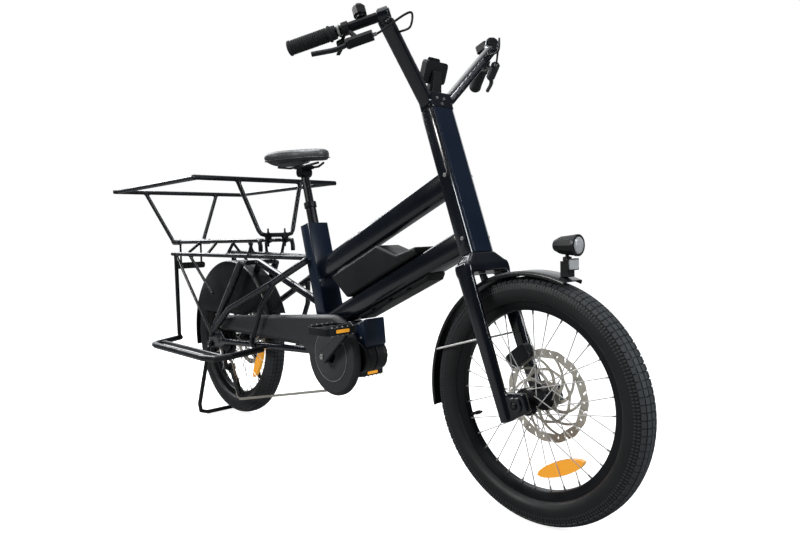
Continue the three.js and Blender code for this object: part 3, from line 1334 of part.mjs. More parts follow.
// The chain's straight runs, between the circles that it passes in order. A circle with a negative
// radius is passed on its other side.
function chainRuns() {
  const lift = CHAIN_HEIGHT / 2 + CHAIN_PLAY;
  const onTeeth = (teeth) => pitchRadius(teeth) + TOOTH_DEPTH / 4 + lift;
  const circles = [
    { x: CRANK_X, z: CRANK_Z, r: onTeeth(RING_TEETH) },
    { x: rearAxle.x, z: rearAxle.z, r: onTeeth(SPROCKET_TEETH[DRIVEN_SPROCKET]) },
    { x: GUIDE_PULLEY_X, z: GUIDE_PULLEY_Z, r: -(PULLEY_RADIUS + lift) },
    { x: TENSION_PULLEY_X, z: TENSION_PULLEY_Z, r: PULLEY_RADIUS + lift },
  ];
  return circles.map((a, i) => {
    const b = circles[(i + 1) % circles.length];
    const apart = Math.hypot(b.x - a.x, b.z - a.z);
    const heading = Math.atan2(b.z - a.z, b.x - a.x) + Math.asin((a.r - b.r) / apart);
    const beside = (c) => p2(c.x + c.r * Math.sin(heading), c.z - c.r * Math.cos(heading));
    return { heading, from: beside(a), to: beside(b), circle: b };
  });
}

function chainLine() {
  const runs = chainRuns();
  const points = [];
  const spaced = (length, pitches) => Math.max(1, Math.round(length / CHAIN_PITCH / pitches));
  runs.forEach(({ heading, from, to, circle }, i) => {
    const steps = spaced(from.distanceTo(to), 2);
    for (let k = 0; k < steps; k++) points.push(from.clone().lerp(to, k / steps));
    const next = runs[(i + 1) % runs.length].heading;
    const sense = Math.sign(circle.r);
    const wrap = sense * THREE.MathUtils.euclideanModulo(sense * (next - heading), 2 * Math.PI);
    const arcSteps = spaced(Math.abs(wrap * circle.r), 1);
    for (let k = 0; k < arcSteps; k++) {
      const turn = heading + (wrap * k) / arcSteps;
      points.push(p2(circle.x + circle.r * Math.sin(turn), circle.z - circle.r * Math.cos(turn)));
    }
  });
  return points;
}

// The chain as one closed band, wide and narrow in turn at its pins.
function chain() {
  const line = chainLine();
  if (line.length % 2) line.pop();
  const half = CHAIN_WIDTH / 2;
  const positions = [];
  const count = line.length;
  line.forEach((at, i) => {
    const before = line[(i + count - 1) % count];
    const after = line[(i + 1) % count];
    const travel = after.clone().sub(before).normalize();
    const reach = (CHAIN_HEIGHT / 2) * (i % 2 ? CHAIN_WAIST_SHARE : 1);
    const outer = p2(at.x + travel.y * reach, at.y - travel.x * reach);
    const inner = p2(at.x - travel.y * reach, at.y + travel.x * reach);
    for (const [edge, out] of [[outer, half], [outer, -half], [inner, -half], [inner, half]])
      positions.push(edge.x, out - CHAIN_OUT, edge.y);
  });
  const faces = [];
  for (let i = 0; i < count; i++)
    for (let k = 0; k < 4; k++) {
      const a = i * 4 + k;
      const b = i * 4 + ((k + 1) % 4);
      const c = ((i + 1) % count) * 4 + ((k + 1) % 4);
      const d = ((i + 1) % count) * 4 + k;
      faces.push(a, b, c, a, c, d);
    }
  const geometry = new THREE.BufferGeometry();
  geometry.setAttribute("position", new THREE.Float32BufferAttribute(positions, 3));
  geometry.setIndex(faces);
  return join(geometry);
}

function chainCover() {
  const outline = (inset) => {
    const r = COVER_RADIUS - inset;
    const rear = COVER_TAIL_X + inset;
    const top = COVER_TAIL_TOP - inset;
    const low = COVER_TAIL_BOTTOM + inset;
    const rise = Math.atan2(CRANK_Z + r - top, CRANK_X - rear);
    const throat = Math.asin(Math.min((CRANK_Z - low) / r, 1));
    const start = Math.PI + throat + radians(COVER_THROAT_ANGLE);
    const end = 2 * Math.PI + Math.PI / 2 + rise;
    const shape = new THREE.Shape();
    shape.moveTo(rear, low + COVER_TAIL_CORNER);
    shape.lineTo(rear + COVER_TAIL_CORNER, low);
    shape.lineTo(CRANK_X - COVER_THROAT - COVER_RADIUS / 2, low);
    shape.absarc(CRANK_X, CRANK_Z, r, start, end, false);
    shape.lineTo(rear + COVER_TAIL_CORNER, top);
    shape.lineTo(rear, top - COVER_TAIL_CORNER);
    return shape;
  };
  const shell = plate(outline(0), -COVER_OUT, -COVER_IN, COVER_FACETS);
  const hollow = plate(outline(COVER_WALL), COVER_WALL - COVER_OUT, OVERRUN - COVER_IN, COVER_FACETS);
  const window = drum(CRANK_BOSS_RADIUS + OVERRUN, -2 * COVER_OUT, 0).translate(CRANK_X, 0, CRANK_Z);
  const sprocketRoom = drum(pitchRadius(SPROCKET_TEETH.at(-1)) + TOOTH_DEPTH, COVER_WALL - COVER_OUT, 0)
    .translate(rearAxle.x, 0, rearAxle.z);
  const lower = chainRuns().at(-1);
  const half = (COVER_OUT - COVER_WALL) / 2;
  const exitEnd = lower.from.clone().lerp(lower.to, COVER_EXIT_SHARE);
  const chainExit = sweep(
    [v(lower.from.x, -half, lower.from.y), v(exitEnd.x, -half, exitEnd.y)],
    roundedOutline(2 * half, 3 * CHAIN_HEIGHT, 0, 1),
    v(0, 0, 1),
  );
  return cut(shell, hollow, window, sprocketRoom, chainExit);
}

function derailleurBody() {
  const hangerZ = rearAxle.z - DROPOUT_FALL - DERAILLEUR_ARM_RADIUS;
  const hanger = v(DROPOUT_FRONT / 2, -REAR_HUB_HALF - DROPOUT_THICKNESS / 2, hangerZ);
  const cageFace = CHAIN_OUT + CHAIN_WIDTH / 2 + CAGE_THICKNESS + 2 * SEAT_GAP;
  const pivot = v(GUIDE_PULLEY_X, -cageFace - DERAILLEUR_ARM_RADIUS, GUIDE_PULLEY_Z);
  const elbow = v(GUIDE_PULLEY_X, -DERAILLEUR_OUT - DERAILLEUR_ARM_RADIUS, (hanger.z + pivot.z) / 2);
  return join(
    tube([hanger, elbow, pivot], DERAILLEUR_ARM_RADIUS, STAND_BEND),
    rod(pivot, v(GUIDE_PULLEY_X, -cageFace, GUIDE_PULLEY_Z), DERAILLEUR_ARM_RADIUS),
  );
}

// The cage swings about the guide pulley: two plates, their pins and both pulleys.
function derailleurCage() {
  const guide = v(GUIDE_PULLEY_X, 0, GUIDE_PULLEY_Z);
  const tension = v(TENSION_PULLEY_X, 0, TENSION_PULLEY_Z);
  const plates = [-1, 1].map((s) => {
    const y = -CHAIN_OUT + s * (CHAIN_WIDTH / 2 + CAGE_THICKNESS / 2 + SEAT_GAP);
    return sweep(
      [v(guide.x, y, guide.z + CAGE_ARM_RADIUS), v(tension.x, y, tension.z - CAGE_ARM_RADIUS)],
      roundedOutline(CAGE_THICKNESS, 2 * CAGE_ARM_RADIUS, 0, 1),
      v(1, 0, 0),
    );
  });
  const half = CHAIN_WIDTH / 2 + SEAT_GAP + CAGE_THICKNESS;
  const wheels = [guide, tension].flatMap(({ x, z }) => [
    drum(PULLEY_RADIUS, -PULLEY_THICKNESS / 2, PULLEY_THICKNESS / 2).translate(x, -CHAIN_OUT, z),
    drum(CAGE_PIVOT_RADIUS, -half, half, SPINDLE_FACETS).translate(x, -CHAIN_OUT, z),
  ]);
  return join(...plates, ...wheels);
}

// Cranks and pedals, drawn round the crank axle with the right crank ahead
function crankset() {
  const bossTurn = radians(CRANK_BOSS_ANGLE);
  const eyeTurn = radians(CRANK_EYE_ANGLE);
  const arms = [[RIGHT, 1], [LEFT, -1]].map(([s, ahead]) => {
    const waist = CRANK_EYE_RADIUS * CRANK_WAIST_SHARE;
    const shape = new THREE.Shape();
    shape.absarc(0, 0, CRANK_BOSS_RADIUS, bossTurn, 2 * Math.PI - bossTurn, false);
    shape.lineTo(CRANK_LENGTH - 2 * CRANK_EYE_RADIUS, -waist);
    shape.absarc(CRANK_LENGTH, 0, CRANK_EYE_RADIUS, -eyeTurn, eyeTurn, false);
    shape.lineTo(CRANK_LENGTH - 2 * CRANK_EYE_RADIUS, waist);
    const eye = circleOutline(boreFor(PEDAL_SPINDLE_RADIUS, SPINDLE_FACETS), SPINDLE_FACETS);
    shape.holes.push(new THREE.Path(eye.map(({ x, y }) => p2(x + CRANK_LENGTH, y))));
    const arm = plate(shape, s * CRANK_OUT, s * (CRANK_OUT + CRANK_THICKNESS), GROOVE_FACETS);
    return ahead > 0 ? arm : arm.rotateY(Math.PI);
  });
  const end = CRANK_OUT + WELD;
  return join(...arms, chainring(), drum(CRANK_SPINDLE_RADIUS, -end, end));
}

function pedal(s) {
  const start = CRANK_OUT + CRANK_THICKNESS + PEDAL_GAP;
  const middle = s * (start + PEDAL_WIDTH / 2);
  const frame = block(PEDAL_LENGTH, PEDAL_WIDTH, PEDAL_THICKNESS, v(0, middle, 0));
  const openings = [-1, 1].map((end) =>
    block(
      PEDAL_LENGTH / 2 - PEDAL_WALL - PEDAL_BARREL_RADIUS,
      PEDAL_WIDTH - 2 * PEDAL_WALL,
      PEDAL_THICKNESS + OVERRUN,
      v(end * (PEDAL_LENGTH / 4 + (PEDAL_BARREL_RADIUS - PEDAL_WALL) / 2), middle, 0),
    ),
  );
  const spindleEnd = v(0, s * (start + WELD), 0);
  const spindle = rod(v(0, s * CRANK_OUT, 0), spindleEnd, PEDAL_SPINDLE_RADIUS, SMALL_FACETS);
  return join(cut(frame, ...openings), spindle);
}

// The stand: two splayed legs and a bar behind the tyre, hung on a bolt at each dropout.
function stand() {
  const eyeIn = REAR_HUB_HALF + DROPOUT_THICKNESS + 2 * SEAT_GAP;
  const topZ = STAND_PIVOT_Z - STAND_EYE_RADIUS + WELD;
  const top = (s) => v(-STAND_PIVOT_BACK, s * (eyeIn + STAND_RADIUS), topZ);
  const foot = (s) => v(-STAND_FOOT_BACK, s * STAND_FOOT_OUT, STAND_RADIUS);
  const path = [top(RIGHT), foot(RIGHT), foot(LEFT), top(LEFT)];
  const frame = tube(path, STAND_RADIUS, STAND_BEND, STAY_SIDES);
  const atPivot = (geometry) => geometry.translate(-STAND_PIVOT_BACK, 0, STAND_PIVOT_Z);
  const eyes = [
    drum(STAND_EYE_RADIUS, -eyeIn - STAND_EYE_WIDTH, -eyeIn),
    drum(STAND_EYE_RADIUS, eyeIn, eyeIn + STAND_EYE_WIDTH),
  ];
  const bore = drum(boreFor(STAND_BOLT_RADIUS, SMALL_FACETS), -TYRE_RADIUS, TYRE_RADIUS);
  return cut(join(frame, ...eyes.map(atPivot)), atPivot(bore));
}

// Fork
const wheelDown = (() => {
  const drop = frontAxle.clone().sub(headBase);
  return { forward: drop.dot(headForward), up: drop.dot(headAxis) };
})();

function fork() {
  const level = (forward, out, up, depth, width, corner) => ({
    at: v(forward, out, up),
    side: v(1, 0, 0),
    up: v(0, 1, 0),
    outline: roundedOutline(depth, width, corner, 1),
  });
  const shoulder = (CROWN_SHOULDER_SHARE - 1) * CROWN_HEIGHT;
  const span = 2 * LEG_OUT + LEG_WIDTH;
  const headDepth = HEAD_DEPTH + HEAD_COVER_THICKNESS;
  const crown = loft([
    level(LEG_TOP_FORWARD, 0, -CROWN_HEIGHT - SEAT_GAP, CROWN_DEPTH, span, LEG_CORNER),
    level(LEG_TOP_FORWARD, 0, shoulder - SEAT_GAP, CROWN_DEPTH, span, LEG_CORNER),
    level(HEAD_COVER_THICKNESS / 2, 0, -SEAT_GAP, headDepth, HEAD_WIDTH, HEAD_CORNER),
  ]);
  const lugIn = LEG_OUT - LEG_WIDTH / 2;
  const lugOutline = [
    p2(LEG_FOOT_FORWARD, wheelDown.up - LEG_LUG_REAR_HALF),
    p2(LEG_LUG_FRONT, wheelDown.up - LEG_LUG_FRONT_HALF),
    p2(LEG_LUG_FRONT, wheelDown.up + LEG_LUG_FRONT_HALF),
    p2(LEG_FOOT_FORWARD, wheelDown.up + LEG_LUG_REAR_HALF),
  ];
  const footUp = wheelDown.up - LEG_LUG_REAR_HALF;
  const legs = [RIGHT, LEFT].flatMap((s) => [
    loft([
      level(LEG_FOOT_FORWARD, s * LEG_OUT, footUp, LEG_FOOT_DEPTH, LEG_WIDTH, LEG_CORNER),
      level(LEG_TOP_FORWARD, s * LEG_OUT, -CROWN_HEIGHT / 2, LEG_TOP_DEPTH, LEG_WIDTH, LEG_CORNER),
    ]),
    plate(new THREE.Shape(lugOutline), s * lugIn, s * (lugIn + LEG_LUG_THICKNESS)),
  ]);
  const steererTop = HEAD_LENGTH + STEM_BLOCK_HEIGHT / 2;
  const steerer = drum(STEERER_RADIUS, -CROWN_HEIGHT / 2, steererTop).rotateX(Math.PI / 2);
  const reach = LEG_OUT + LEG_WIDTH / 2 + SEAT_GAP;
  const axle = drum(AXLE_RADIUS, -reach, reach).translate(wheelDown.forward, 0, wheelDown.up);
  return join(crown, ...legs, steerer, axle);
}

// A brake caliper astride its rotor, at an angle round the axle, with a foot that reaches out to the
// tube that carries it.
function caliper(axle, degrees, reach, ...seats) {
  const turn = radians(degrees);
  const inY = LEG_OUT - LEG_WIDTH / 2 - SEAT_GAP - CALIPER_WIDTH;
  const slab = (depth, length, fromY, toY, shift) =>
    new THREE.ExtrudeGeometry(new THREE.Shape(roundedOutline(depth, length, CALIPER_CORNER)), {
      depth: toY - fromY,
      bevelEnabled: false,
    })
      .translate(ROTOR_RADIUS - ROTOR_TRACK / 2 + CALIPER_DEPTH / 4 + shift, 0, 0)
      .rotateX(Math.PI / 2)
      .translate(0, toY, 0)
      .rotateY(-turn)
      .translate(axle.x, 0, axle.z);
  const body = slab(CALIPER_DEPTH, CALIPER_LENGTH, inY, inY + CALIPER_WIDTH, 0);
  const footIn = ROTOR_OUT + 2 * ROTOR_THICKNESS;
  const foot = slab(CALIPER_DEPTH / 2, CALIPER_LENGTH, footIn, reach, CALIPER_DEPTH / 4);
  const slotIn = ROTOR_OUT - ROTOR_THICKNESS;
  const slot = drum(ROTOR_RADIUS + OVERRUN / 2, slotIn, slotIn + 2 * ROTOR_THICKNESS, WHEEL_FACETS)
    .translate(axle.x, 0, axle.z);
  return cut(join(body, foot), slot, ...seats);
}

// Stem and bars, drawn in the steering frame
const barInner = (s) => v(BAR_INNER_FORWARD, s * BAR_INNER_OUT, BAR_UP);
const barEnd = (s) => v(BAR_END_FORWARD, s * BAR_END_OUT, BAR_UP);
const barAlong = (s) => barEnd(s).sub(barInner(s)).normalize();
const onBar = (s, share) => barInner(s).lerp(barEnd(s), share);
const barBore = boreFor(BAR_RADIUS, BAR_SIDES);

function sleeve(s, middle, halfLength, radius, sides = BAR_SIDES) {
  const along = barAlong(s);
  const start = middle.clone().addScaledVector(along, -halfLength);
  return rod(start, middle.clone().addScaledVector(along, halfLength), radius, sides);
}

function stem() {
  const base = HEAD_LENGTH + 2 * SEAT_GAP;
  const foot = new THREE.ExtrudeGeometry(
    new THREE.Shape(roundedOutline(HEAD_DEPTH + HEAD_COVER_THICKNESS, HEAD_WIDTH, HEAD_CORNER)),
    { depth: STEM_BLOCK_HEIGHT, bevelEnabled: false },
  ).translate(HEAD_COVER_THICKNESS / 2, 0, base);
  const arms = [RIGHT, LEFT].map((s) =>
    sweep(
      [
        v(HEAD_COVER_THICKNESS / 2, s * ARM_ROOT_OUT, base + ARM_ROOT_UP),
        v(ARM_TOP_FORWARD, s * ARM_TOP_OUT, base + ARM_TOP_RISE),
      ],
      roundedOutline(ARM_THICKNESS, ARM_DEPTH, ARM_CORNER, 1),
      v(1, 0, 0),
    ),
  );
  const clamps = [RIGHT, LEFT].map((s) =>
    sleeve(s, onBar(s, BAR_CLAMP_SHARE), BAR_CLAMP_LENGTH / 2, BAR_CLAMP_RADIUS),
  );
  const bores = [RIGHT, LEFT].map((s) =>
    sleeve(s, onBar(s, BAR_CLAMP_SHARE), 2 * BAR_CLAMP_LENGTH, BAR_RADIUS + SEAT_GAP),
  );
  const boreTop = base + STEM_BLOCK_HEIGHT / 2 + SEAT_GAP;
  const steererBore = drum(STEERER_RADIUS + SEAT_GAP, base - OVERRUN, boreTop).rotateX(Math.PI / 2);
  return cut(join(foot, ...arms, ...clamps), ...bores, steererBore);
}

const handlebar = (s) => rod(barInner(s), barEnd(s), BAR_RADIUS, BAR_SIDES);

function grip(s) {
  const end = barEnd(s);
  const along = barAlong(s).negate();
  const outer = rod(
    end.clone().addScaledVector(along, -GRIP_END_WALL),
    end.clone().addScaledVector(along, GRIP_LENGTH),
    GRIP_RADIUS,
    BAR_SIDES,
  );
  const bore = rod(
    end.clone().addScaledVector(along, -SEAT_GAP),
    end.clone().addScaledVector(along, GRIP_LENGTH + OVERRUN),
    barBore,
    BAR_SIDES,
  );
  return cut(outer, bore);
}

// Places on a brake lever, below the bar and a little ahead of it
const leverPivot = (s) => onBar(s, LEVER_ROOT_SHARE).add(v(LEVER_FORWARD, 0, -LEVER_DROP));
const leverTip = (s) => onBar(s, LEVER_TIP_SHARE).add(v(LEVER_TIP_FORWARD, 0, -LEVER_TIP_DROP));

function leverAxis(s) {
  const blade = leverTip(s).sub(leverPivot(s));
  const toBar = onBar(s, LEVER_TIP_SHARE).sub(leverTip(s));
  return blade.cross(toBar).normalize();
}

function leverBoss(s, radius, halfWidth) {
  const axis = leverAxis(s);
  const pivot = leverPivot(s);
  return rod(
    pivot.clone().addScaledVector(axis, -halfWidth),
    pivot.clone().addScaledVector(axis, halfWidth),
    radius,
    STAY_SIDES,
  );
}

function brakeBody(s) {
  const middle = onBar(s, LEVER_CLAMP_SHARE);
  const along = barAlong(s);
  const clamp = sleeve(s, middle, LEVER_CLAMP_LENGTH / 2, LEVER_CLAMP_RADIUS);
  const root = leverPivot(s);
  const back = root.clone().addScaledVector(along, -LEVER_PIVOT_RADIUS - SEAT_GAP - RESERVOIR_LENGTH);
  const reservoir = rod(root, back, RESERVOIR_RADIUS, STAY_SIDES);
  const neckFoot = root.clone().lerp(back, LEVER_NECK_SHARE);
  const ears = leverBoss(s, LEVER_PIVOT_RADIUS, LEVER_BOSS_HALF_WIDTH + SEAT_GAP + LEVER_EAR_THICKNESS);
  const notch = leverBoss(s, LEVER_PIVOT_RADIUS + LEVER_NOTCH_GAP, LEVER_BOSS_HALF_WIDTH + SEAT_GAP);
  const neck = rod(middle.clone(), neckFoot, RESERVOIR_RADIUS / 2);
  const bore = sleeve(s, middle, 2 * LEVER_CLAMP_LENGTH, barBore);
  const pieces = [clamp, reservoir, neck, ears];
  if (s === RIGHT) {
    const pin = shifterPin();
    const rise = v(0, 0, SHIFTER_RADIUS / 2);
    const top = pin.clone().add(rise);
    pieces.push(rod(top, pin.clone().sub(rise), SHIFTER_RADIUS + WELD, STAY_SIDES));
    pieces.push(rod(middle, pin, SHIFTER_RADIUS / 2));
  }
  return cut(join(...pieces), bore, notch);
}

function brakeLever(s) {
  const pivot = leverPivot(s);
  const tip = leverTip(s);
  const sag = v(LEVER_PIVOT_RADIUS / 2, 0, -LEVER_PIVOT_RADIUS);
  const knee = pivot.clone().lerp(tip, LEVER_KNEE_SHARE).add(sag);
  const blade = tube([pivot, knee, tip], LEVER_RADIUS, GRIP_LENGTH / 2);
  return join(blade, leverBoss(s, LEVER_PIVOT_RADIUS, LEVER_BOSS_HALF_WIDTH));
}

// The shift lever, a thumb paddle on a pin under the right brake lever's clamp.
const shifterPin = () => onBar(RIGHT, LEVER_CLAMP_SHARE).add(v(-SHIFTER_BACK, 0, -SHIFTER_DROP));
function shiftLever() {
  const pin = shifterPin();
  const low = pin.clone().add(v(0, 0, -SHIFTER_RADIUS / 2 - SEAT_GAP));
  const boss = rod(low, low.clone().add(v(0, 0, -SHIFTER_LEVER_THICKNESS)), SHIFTER_RADIUS, STAY_SIDES);
  const root = low.clone().add(v(0, 0, -SHIFTER_LEVER_THICKNESS / 2));
  const tip = root.clone().add(v(-SHIFTER_LEVER_REACH, SHIFTER_LEVER_REACH / 3, 0));
  const section = roundedOutline(SHIFTER_LEVER_THICKNESS, SHIFTER_RADIUS, SHIFTER_LEVER_THICKNESS / 4, 1);
  const blade = sweep([root, tip], section, Y_AXIS);
  return join(boss, blade);
}

function bell() {
  const at = onBar(RIGHT, BELL_SHARE).add(v(0, 0, BAR_RADIUS + SEAT_GAP));
  const profile = [
    [0, 0],
    [BELL_RADIUS * BELL_BASE_SHARE, 0],
    [BELL_RADIUS * BELL_BASE_SHARE, BELL_BASE_HEIGHT],
    [BELL_RADIUS, BELL_BASE_HEIGHT],
    [BELL_RADIUS, BELL_HEIGHT * BELL_SHOULDER_SHARE],
    [BELL_RADIUS * BELL_BASE_SHARE, BELL_HEIGHT],
    [0, BELL_HEIGHT],
  ];
  return revolve(profile, SMALL_FACETS).rotateX(Math.PI / 2).translate(at.x, at.y, at.z);
}

function remote() {
  const at = onBar(LEFT, REMOTE_SHARE).add(v(0, 0, BAR_RADIUS + SEAT_GAP));
  const body = new THREE.ExtrudeGeometry(
    new THREE.Shape(roundedOutline(REMOTE_DEPTH, REMOTE_WIDTH, REMOTE_HEIGHT / 3)),
    { depth: REMOTE_HEIGHT, bevelEnabled: false },
  );
  return body.translate(at.x - REMOTE_DEPTH / 4, at.y, at.z);
}

function display() {
  const body = new THREE.ExtrudeGeometry(
    new THREE.Shape(roundedOutline(DISPLAY_HEIGHT, DISPLAY_WIDTH, DISPLAY_CORNER)),
    { depth: DISPLAY_THICKNESS, bevelEnabled: false },
  )
    .rotateY(-radians(DISPLAY_TILT))
    .translate(DISPLAY_FORWARD, 0, DISPLAY_UP);
  const root = HEAD_LENGTH + 3 * SEAT_GAP + STEM_BLOCK_HEIGHT;
  const level = (forward, up, [depth, width]) => ({
    at: v(forward, 0, up),
    side: v(1, 0, 0),
    up: Y_AXIS,
    outline: roundedOutline(depth, width, depth / 4, 1),
  });
  const foot = level(0, root, BRACKET_FOOT_SIZE);
  const top = level(DISPLAY_FORWARD, DISPLAY_UP, BRACKET_TOP_SIZE);
  const bracket = loft([foot, top]);
  return join(body, bracket);
}

// A brake hose, from its reservoir round into the bar's arm
function hose(s) {
  const along = barAlong(s);
  const reservoirEnd = LEVER_PIVOT_RADIUS + RESERVOIR_LENGTH + 2 * SEAT_GAP;
  const start = leverPivot(s).addScaledVector(along, -reservoirEnd);
  const base = HEAD_LENGTH + 2 * SEAT_GAP;
  const armFront = v(
    ARM_TOP_FORWARD * HOSE_END_SHARE + ARM_DEPTH / 2 + HOSE_RADIUS + SEAT_GAP,
    s * mix(ARM_ROOT_OUT, ARM_TOP_OUT, HOSE_END_SHARE),
    base + mix(ARM_ROOT_UP, ARM_TOP_RISE, HOSE_END_SHARE),
  );
  const aside = ([forwardShare, upShare]) =>
    armFront.clone().add(v(ARM_DEPTH * forwardShare, -s * HOSE_RADIUS, ARM_DEPTH * upShare));
  const curve = new THREE.CatmullRomCurve3([
    start,
    start.clone().addScaledVector(along, -4 * HOSE_RADIUS),
    aside(HOSE_SWING_SHARES),
    aside(HOSE_RETURN_SHARES),
    armFront,
  ]);
  return sweep(curve.getSpacedPoints(HOSE_STEPS), circleOutline(HOSE_RADIUS, TUBE_SIDES));
}

// Seat
function seatPostLower() {
  const bottom = -POST_LOWER_HIDDEN;
  const top = POST_LOWER_SHOWING;
  const bore = boreFor(POST_UPPER_RADIUS, SMALL_FACETS);
  const profile = [
    [bore, bottom],
    [POST_LOWER_RADIUS, bottom],
    [POST_LOWER_RADIUS, top - COLLAR_HEIGHT],
    [COLLAR_RADIUS, top - COLLAR_HEIGHT],
    [COLLAR_RADIUS, top],
    [bore, top],
    [bore, bottom],
  ];
  return revolve(profile, SMALL_FACETS);
}

// The inner post, with its head clamp and the two saddle rails that it grips.
function seatPostUpper() {
  const clampTop = onSeat(0, POST_LOWER_SHOWING + POST_UPPER_SHOWING);
  const post = rod(
    onSeat(0, POST_LOWER_SHOWING - POST_UPPER_HIDDEN),
    clampTop,
    POST_UPPER_RADIUS,
    SMALL_FACETS,
  );
  const clamp = drum(SEAT_CLAMP_RADIUS, -SEAT_CLAMP_WIDTH / 2, SEAT_CLAMP_WIDTH / 2)
    .translate(clampTop.x, 0, clampTop.z);
  const low = clampTop.z + SEAT_CLAMP_RADIUS;
  const underAt = (x) => {
    const { top, thick } = saddleSection((x - SADDLE_REAR_X) / SADDLE_LENGTH);
    return top - thick - SADDLE_RAIL_RADIUS + SADDLE_RAIL_SINK;
  };
  const reach = SADDLE_LENGTH * SADDLE_RAIL_REACH_SHARE;
  const [rearSplay, frontSplay] = SADDLE_RAIL_SPLAY_SHARES;
  const rails = [-SADDLE_RAIL_OUT, SADDLE_RAIL_OUT].map((out) =>
    tube(
      [
        v(clampTop.x - reach, out * rearSplay, underAt(clampTop.x - reach)),
        v(clampTop.x - reach / 2, out, low),
        v(clampTop.x + reach / 2, out, low),
        v(clampTop.x + reach, out * frontSplay, underAt(clampTop.x + reach)),
      ],
      SADDLE_RAIL_RADIUS,
      STAND_BEND / 2,
    ),
  );
  const bridgeAt = v(clampTop.x, 0, low);
  const bridge = block(SEAT_CLAMP_WIDTH, 2 * SADDLE_RAIL_OUT, 3 * SADDLE_RAIL_RADIUS, bridgeAt);
  return join(post, clamp, ...rails, bridge);
}

// The saddle: wide and crowned at the back, narrow at the nose, with sides that draw in below.
function saddleSection(share) {
  const fromMiddle = Math.abs(2 * share - 1);
  const round = Math.sqrt(Math.max(1 - fromMiddle ** SADDLE_END_POWER, SADDLE_END_SHARE));
  const wide = (1 - Math.tanh(SADDLE_NECK_RATE * (share - SADDLE_NECK_SHARE))) / 2;
  const width = mix(SADDLE_NOSE_WIDTH, SADDLE_WIDTH, wide) * round;
  const depthShare = mix(SADDLE_NOSE_THICK_SHARE, 1, wide) * mix(SADDLE_EDGE_THICK_SHARE, 1, round);
  const thick = SADDLE_THICKNESS * depthShare;
  const top = SADDLE_TOP_Z - SADDLE_NOSE_DROP * share ** 2 - SADDLE_CROWN * (1 - round);
  return { width, thick, top };
}

function saddle() {
  const sections = Array.from({ length: SADDLE_STEPS + 1 }, (_, i) => {
    const share = i / SADDLE_STEPS;
    const { width, thick, top } = saddleSection(share);
    const outline = Array.from({ length: SADDLE_RING }, (_, k) => {
      const turn = (2 * Math.PI * k) / SADDLE_RING;
      const c = Math.cos(turn);
      const s = Math.sin(turn);
      const drawnIn = s < 0 ? 1 + SADDLE_DRAW_IN_SHARE * s : 1;
      return p2(
        (width / 2) * Math.sign(c) * Math.abs(c) ** SADDLE_SIDE_POWER * drawnIn,
        (thick / 2) * Math.sign(s) * Math.abs(s) ** SADDLE_TOP_POWER,
      );
    });
    const x = mix(SADDLE_REAR_X, SADDLE_REAR_X + SADDLE_LENGTH, share);
    return { at: v(x, 0, top - thick / 2), side: Y_AXIS, up: v(0, 0, 1), outline };
  });
  return loft(sections);
}

// Front light, hinged on the reflector's bracket at the tip of the mudguard
const lightHinge = v(LIGHT_X, 0, LIGHT_Z - LIGHT_RADIUS - LIGHT_HINGE_RADIUS);
function frontReflector() {
  const along = LIGHT_X - REFLECTOR_FOOT / 2 - frontAxle.x;
  const onGuard = frontAxle.z + Math.sqrt(GUARD_RADIUS ** 2 - along ** 2) - REFLECTOR_SINK;
  const top = lightHinge.z - LIGHT_HINGE_RADIUS - SEAT_GAP;
  const lens = v(LIGHT_X + REFLECTOR_FOOT / 2, 0, top + REFLECTOR_RISE - REFLECTOR_HEIGHT / 2);
  const ears = [RIGHT, LEFT].map((s) => {
    const out = s * (LIGHT_HINGE_HALF_WIDTH + SEAT_GAP + LIGHT_EAR_THICKNESS / 2);
    const at = v(LIGHT_X, out, top + LIGHT_HINGE_RADIUS - WELD / 2);
    return block(2 * LIGHT_HINGE_RADIUS, LIGHT_EAR_THICKNESS, 2 * LIGHT_HINGE_RADIUS, at);
  });
  return join(
    block(REFLECTOR_DEPTH, REFLECTOR_WIDTH, REFLECTOR_HEIGHT, lens),
    block(REFLECTOR_FOOT, REFLECTOR_FOOT, top - onGuard, v(LIGHT_X, 0, (top + onGuard) / 2)),
    ...ears,
  );
}

function frontLight() {
  const half = LIGHT_LENGTH / 2;
  const profile = [
    [0, -half],
    [LIGHT_RADIUS * LIGHT_BACK_SHARE, -half],
    [LIGHT_RADIUS * LIGHT_WAIST_SHARE, -half * LIGHT_WAIST_BACK_SHARE],
    [LIGHT_RADIUS, half * LIGHT_RIM_SHARE],
    [LIGHT_RADIUS, half],
    [LIGHT_RADIUS * LIGHT_WAIST_SHARE, half],
    [LIGHT_RADIUS * LIGHT_LENS_SHARE, half * LIGHT_LENS_DEPTH_SHARE],
    [0, half * LIGHT_LENS_DEPTH_SHARE],
  ];
  const shell = revolve(profile, SMALL_FACETS).rotateZ(-Math.PI / 2).translate(LIGHT_X, 0, LIGHT_Z);
  const hinge = drum(LIGHT_HINGE_RADIUS, -LIGHT_HINGE_HALF_WIDTH, LIGHT_HINGE_HALF_WIDTH)
    .translate(lightHinge.x, 0, lightHinge.z);
  const neck = rod(lightHinge, v(LIGHT_X, 0, LIGHT_Z), LIGHT_NECK_RADIUS);
  return join(shell, hinge, neck);
}

// The scene graph
const steering = new THREE.Group();
steering.position.copy(headBase);
steering.rotation.y = -radians(HEAD_TILT);
const frontWheel = new THREE.Group();
frontWheel.position.copy(frontAxle);
const rearWheel = new THREE.Group();
rearWheel.position.copy(rearAxle);
const cranks = new THREE.Group();
cranks.position.copy(crankAxle);
cranks.rotation.y = -radians(CRANK_ANGLE);
const seatPost = new THREE.Group();
seatPost.position.copy(seatTop);
seatPost.rotation.y = -radians(SEAT_TUBE_TILT);
bike.add(steering, frontWheel, rearWheel, cranks, seatPost);

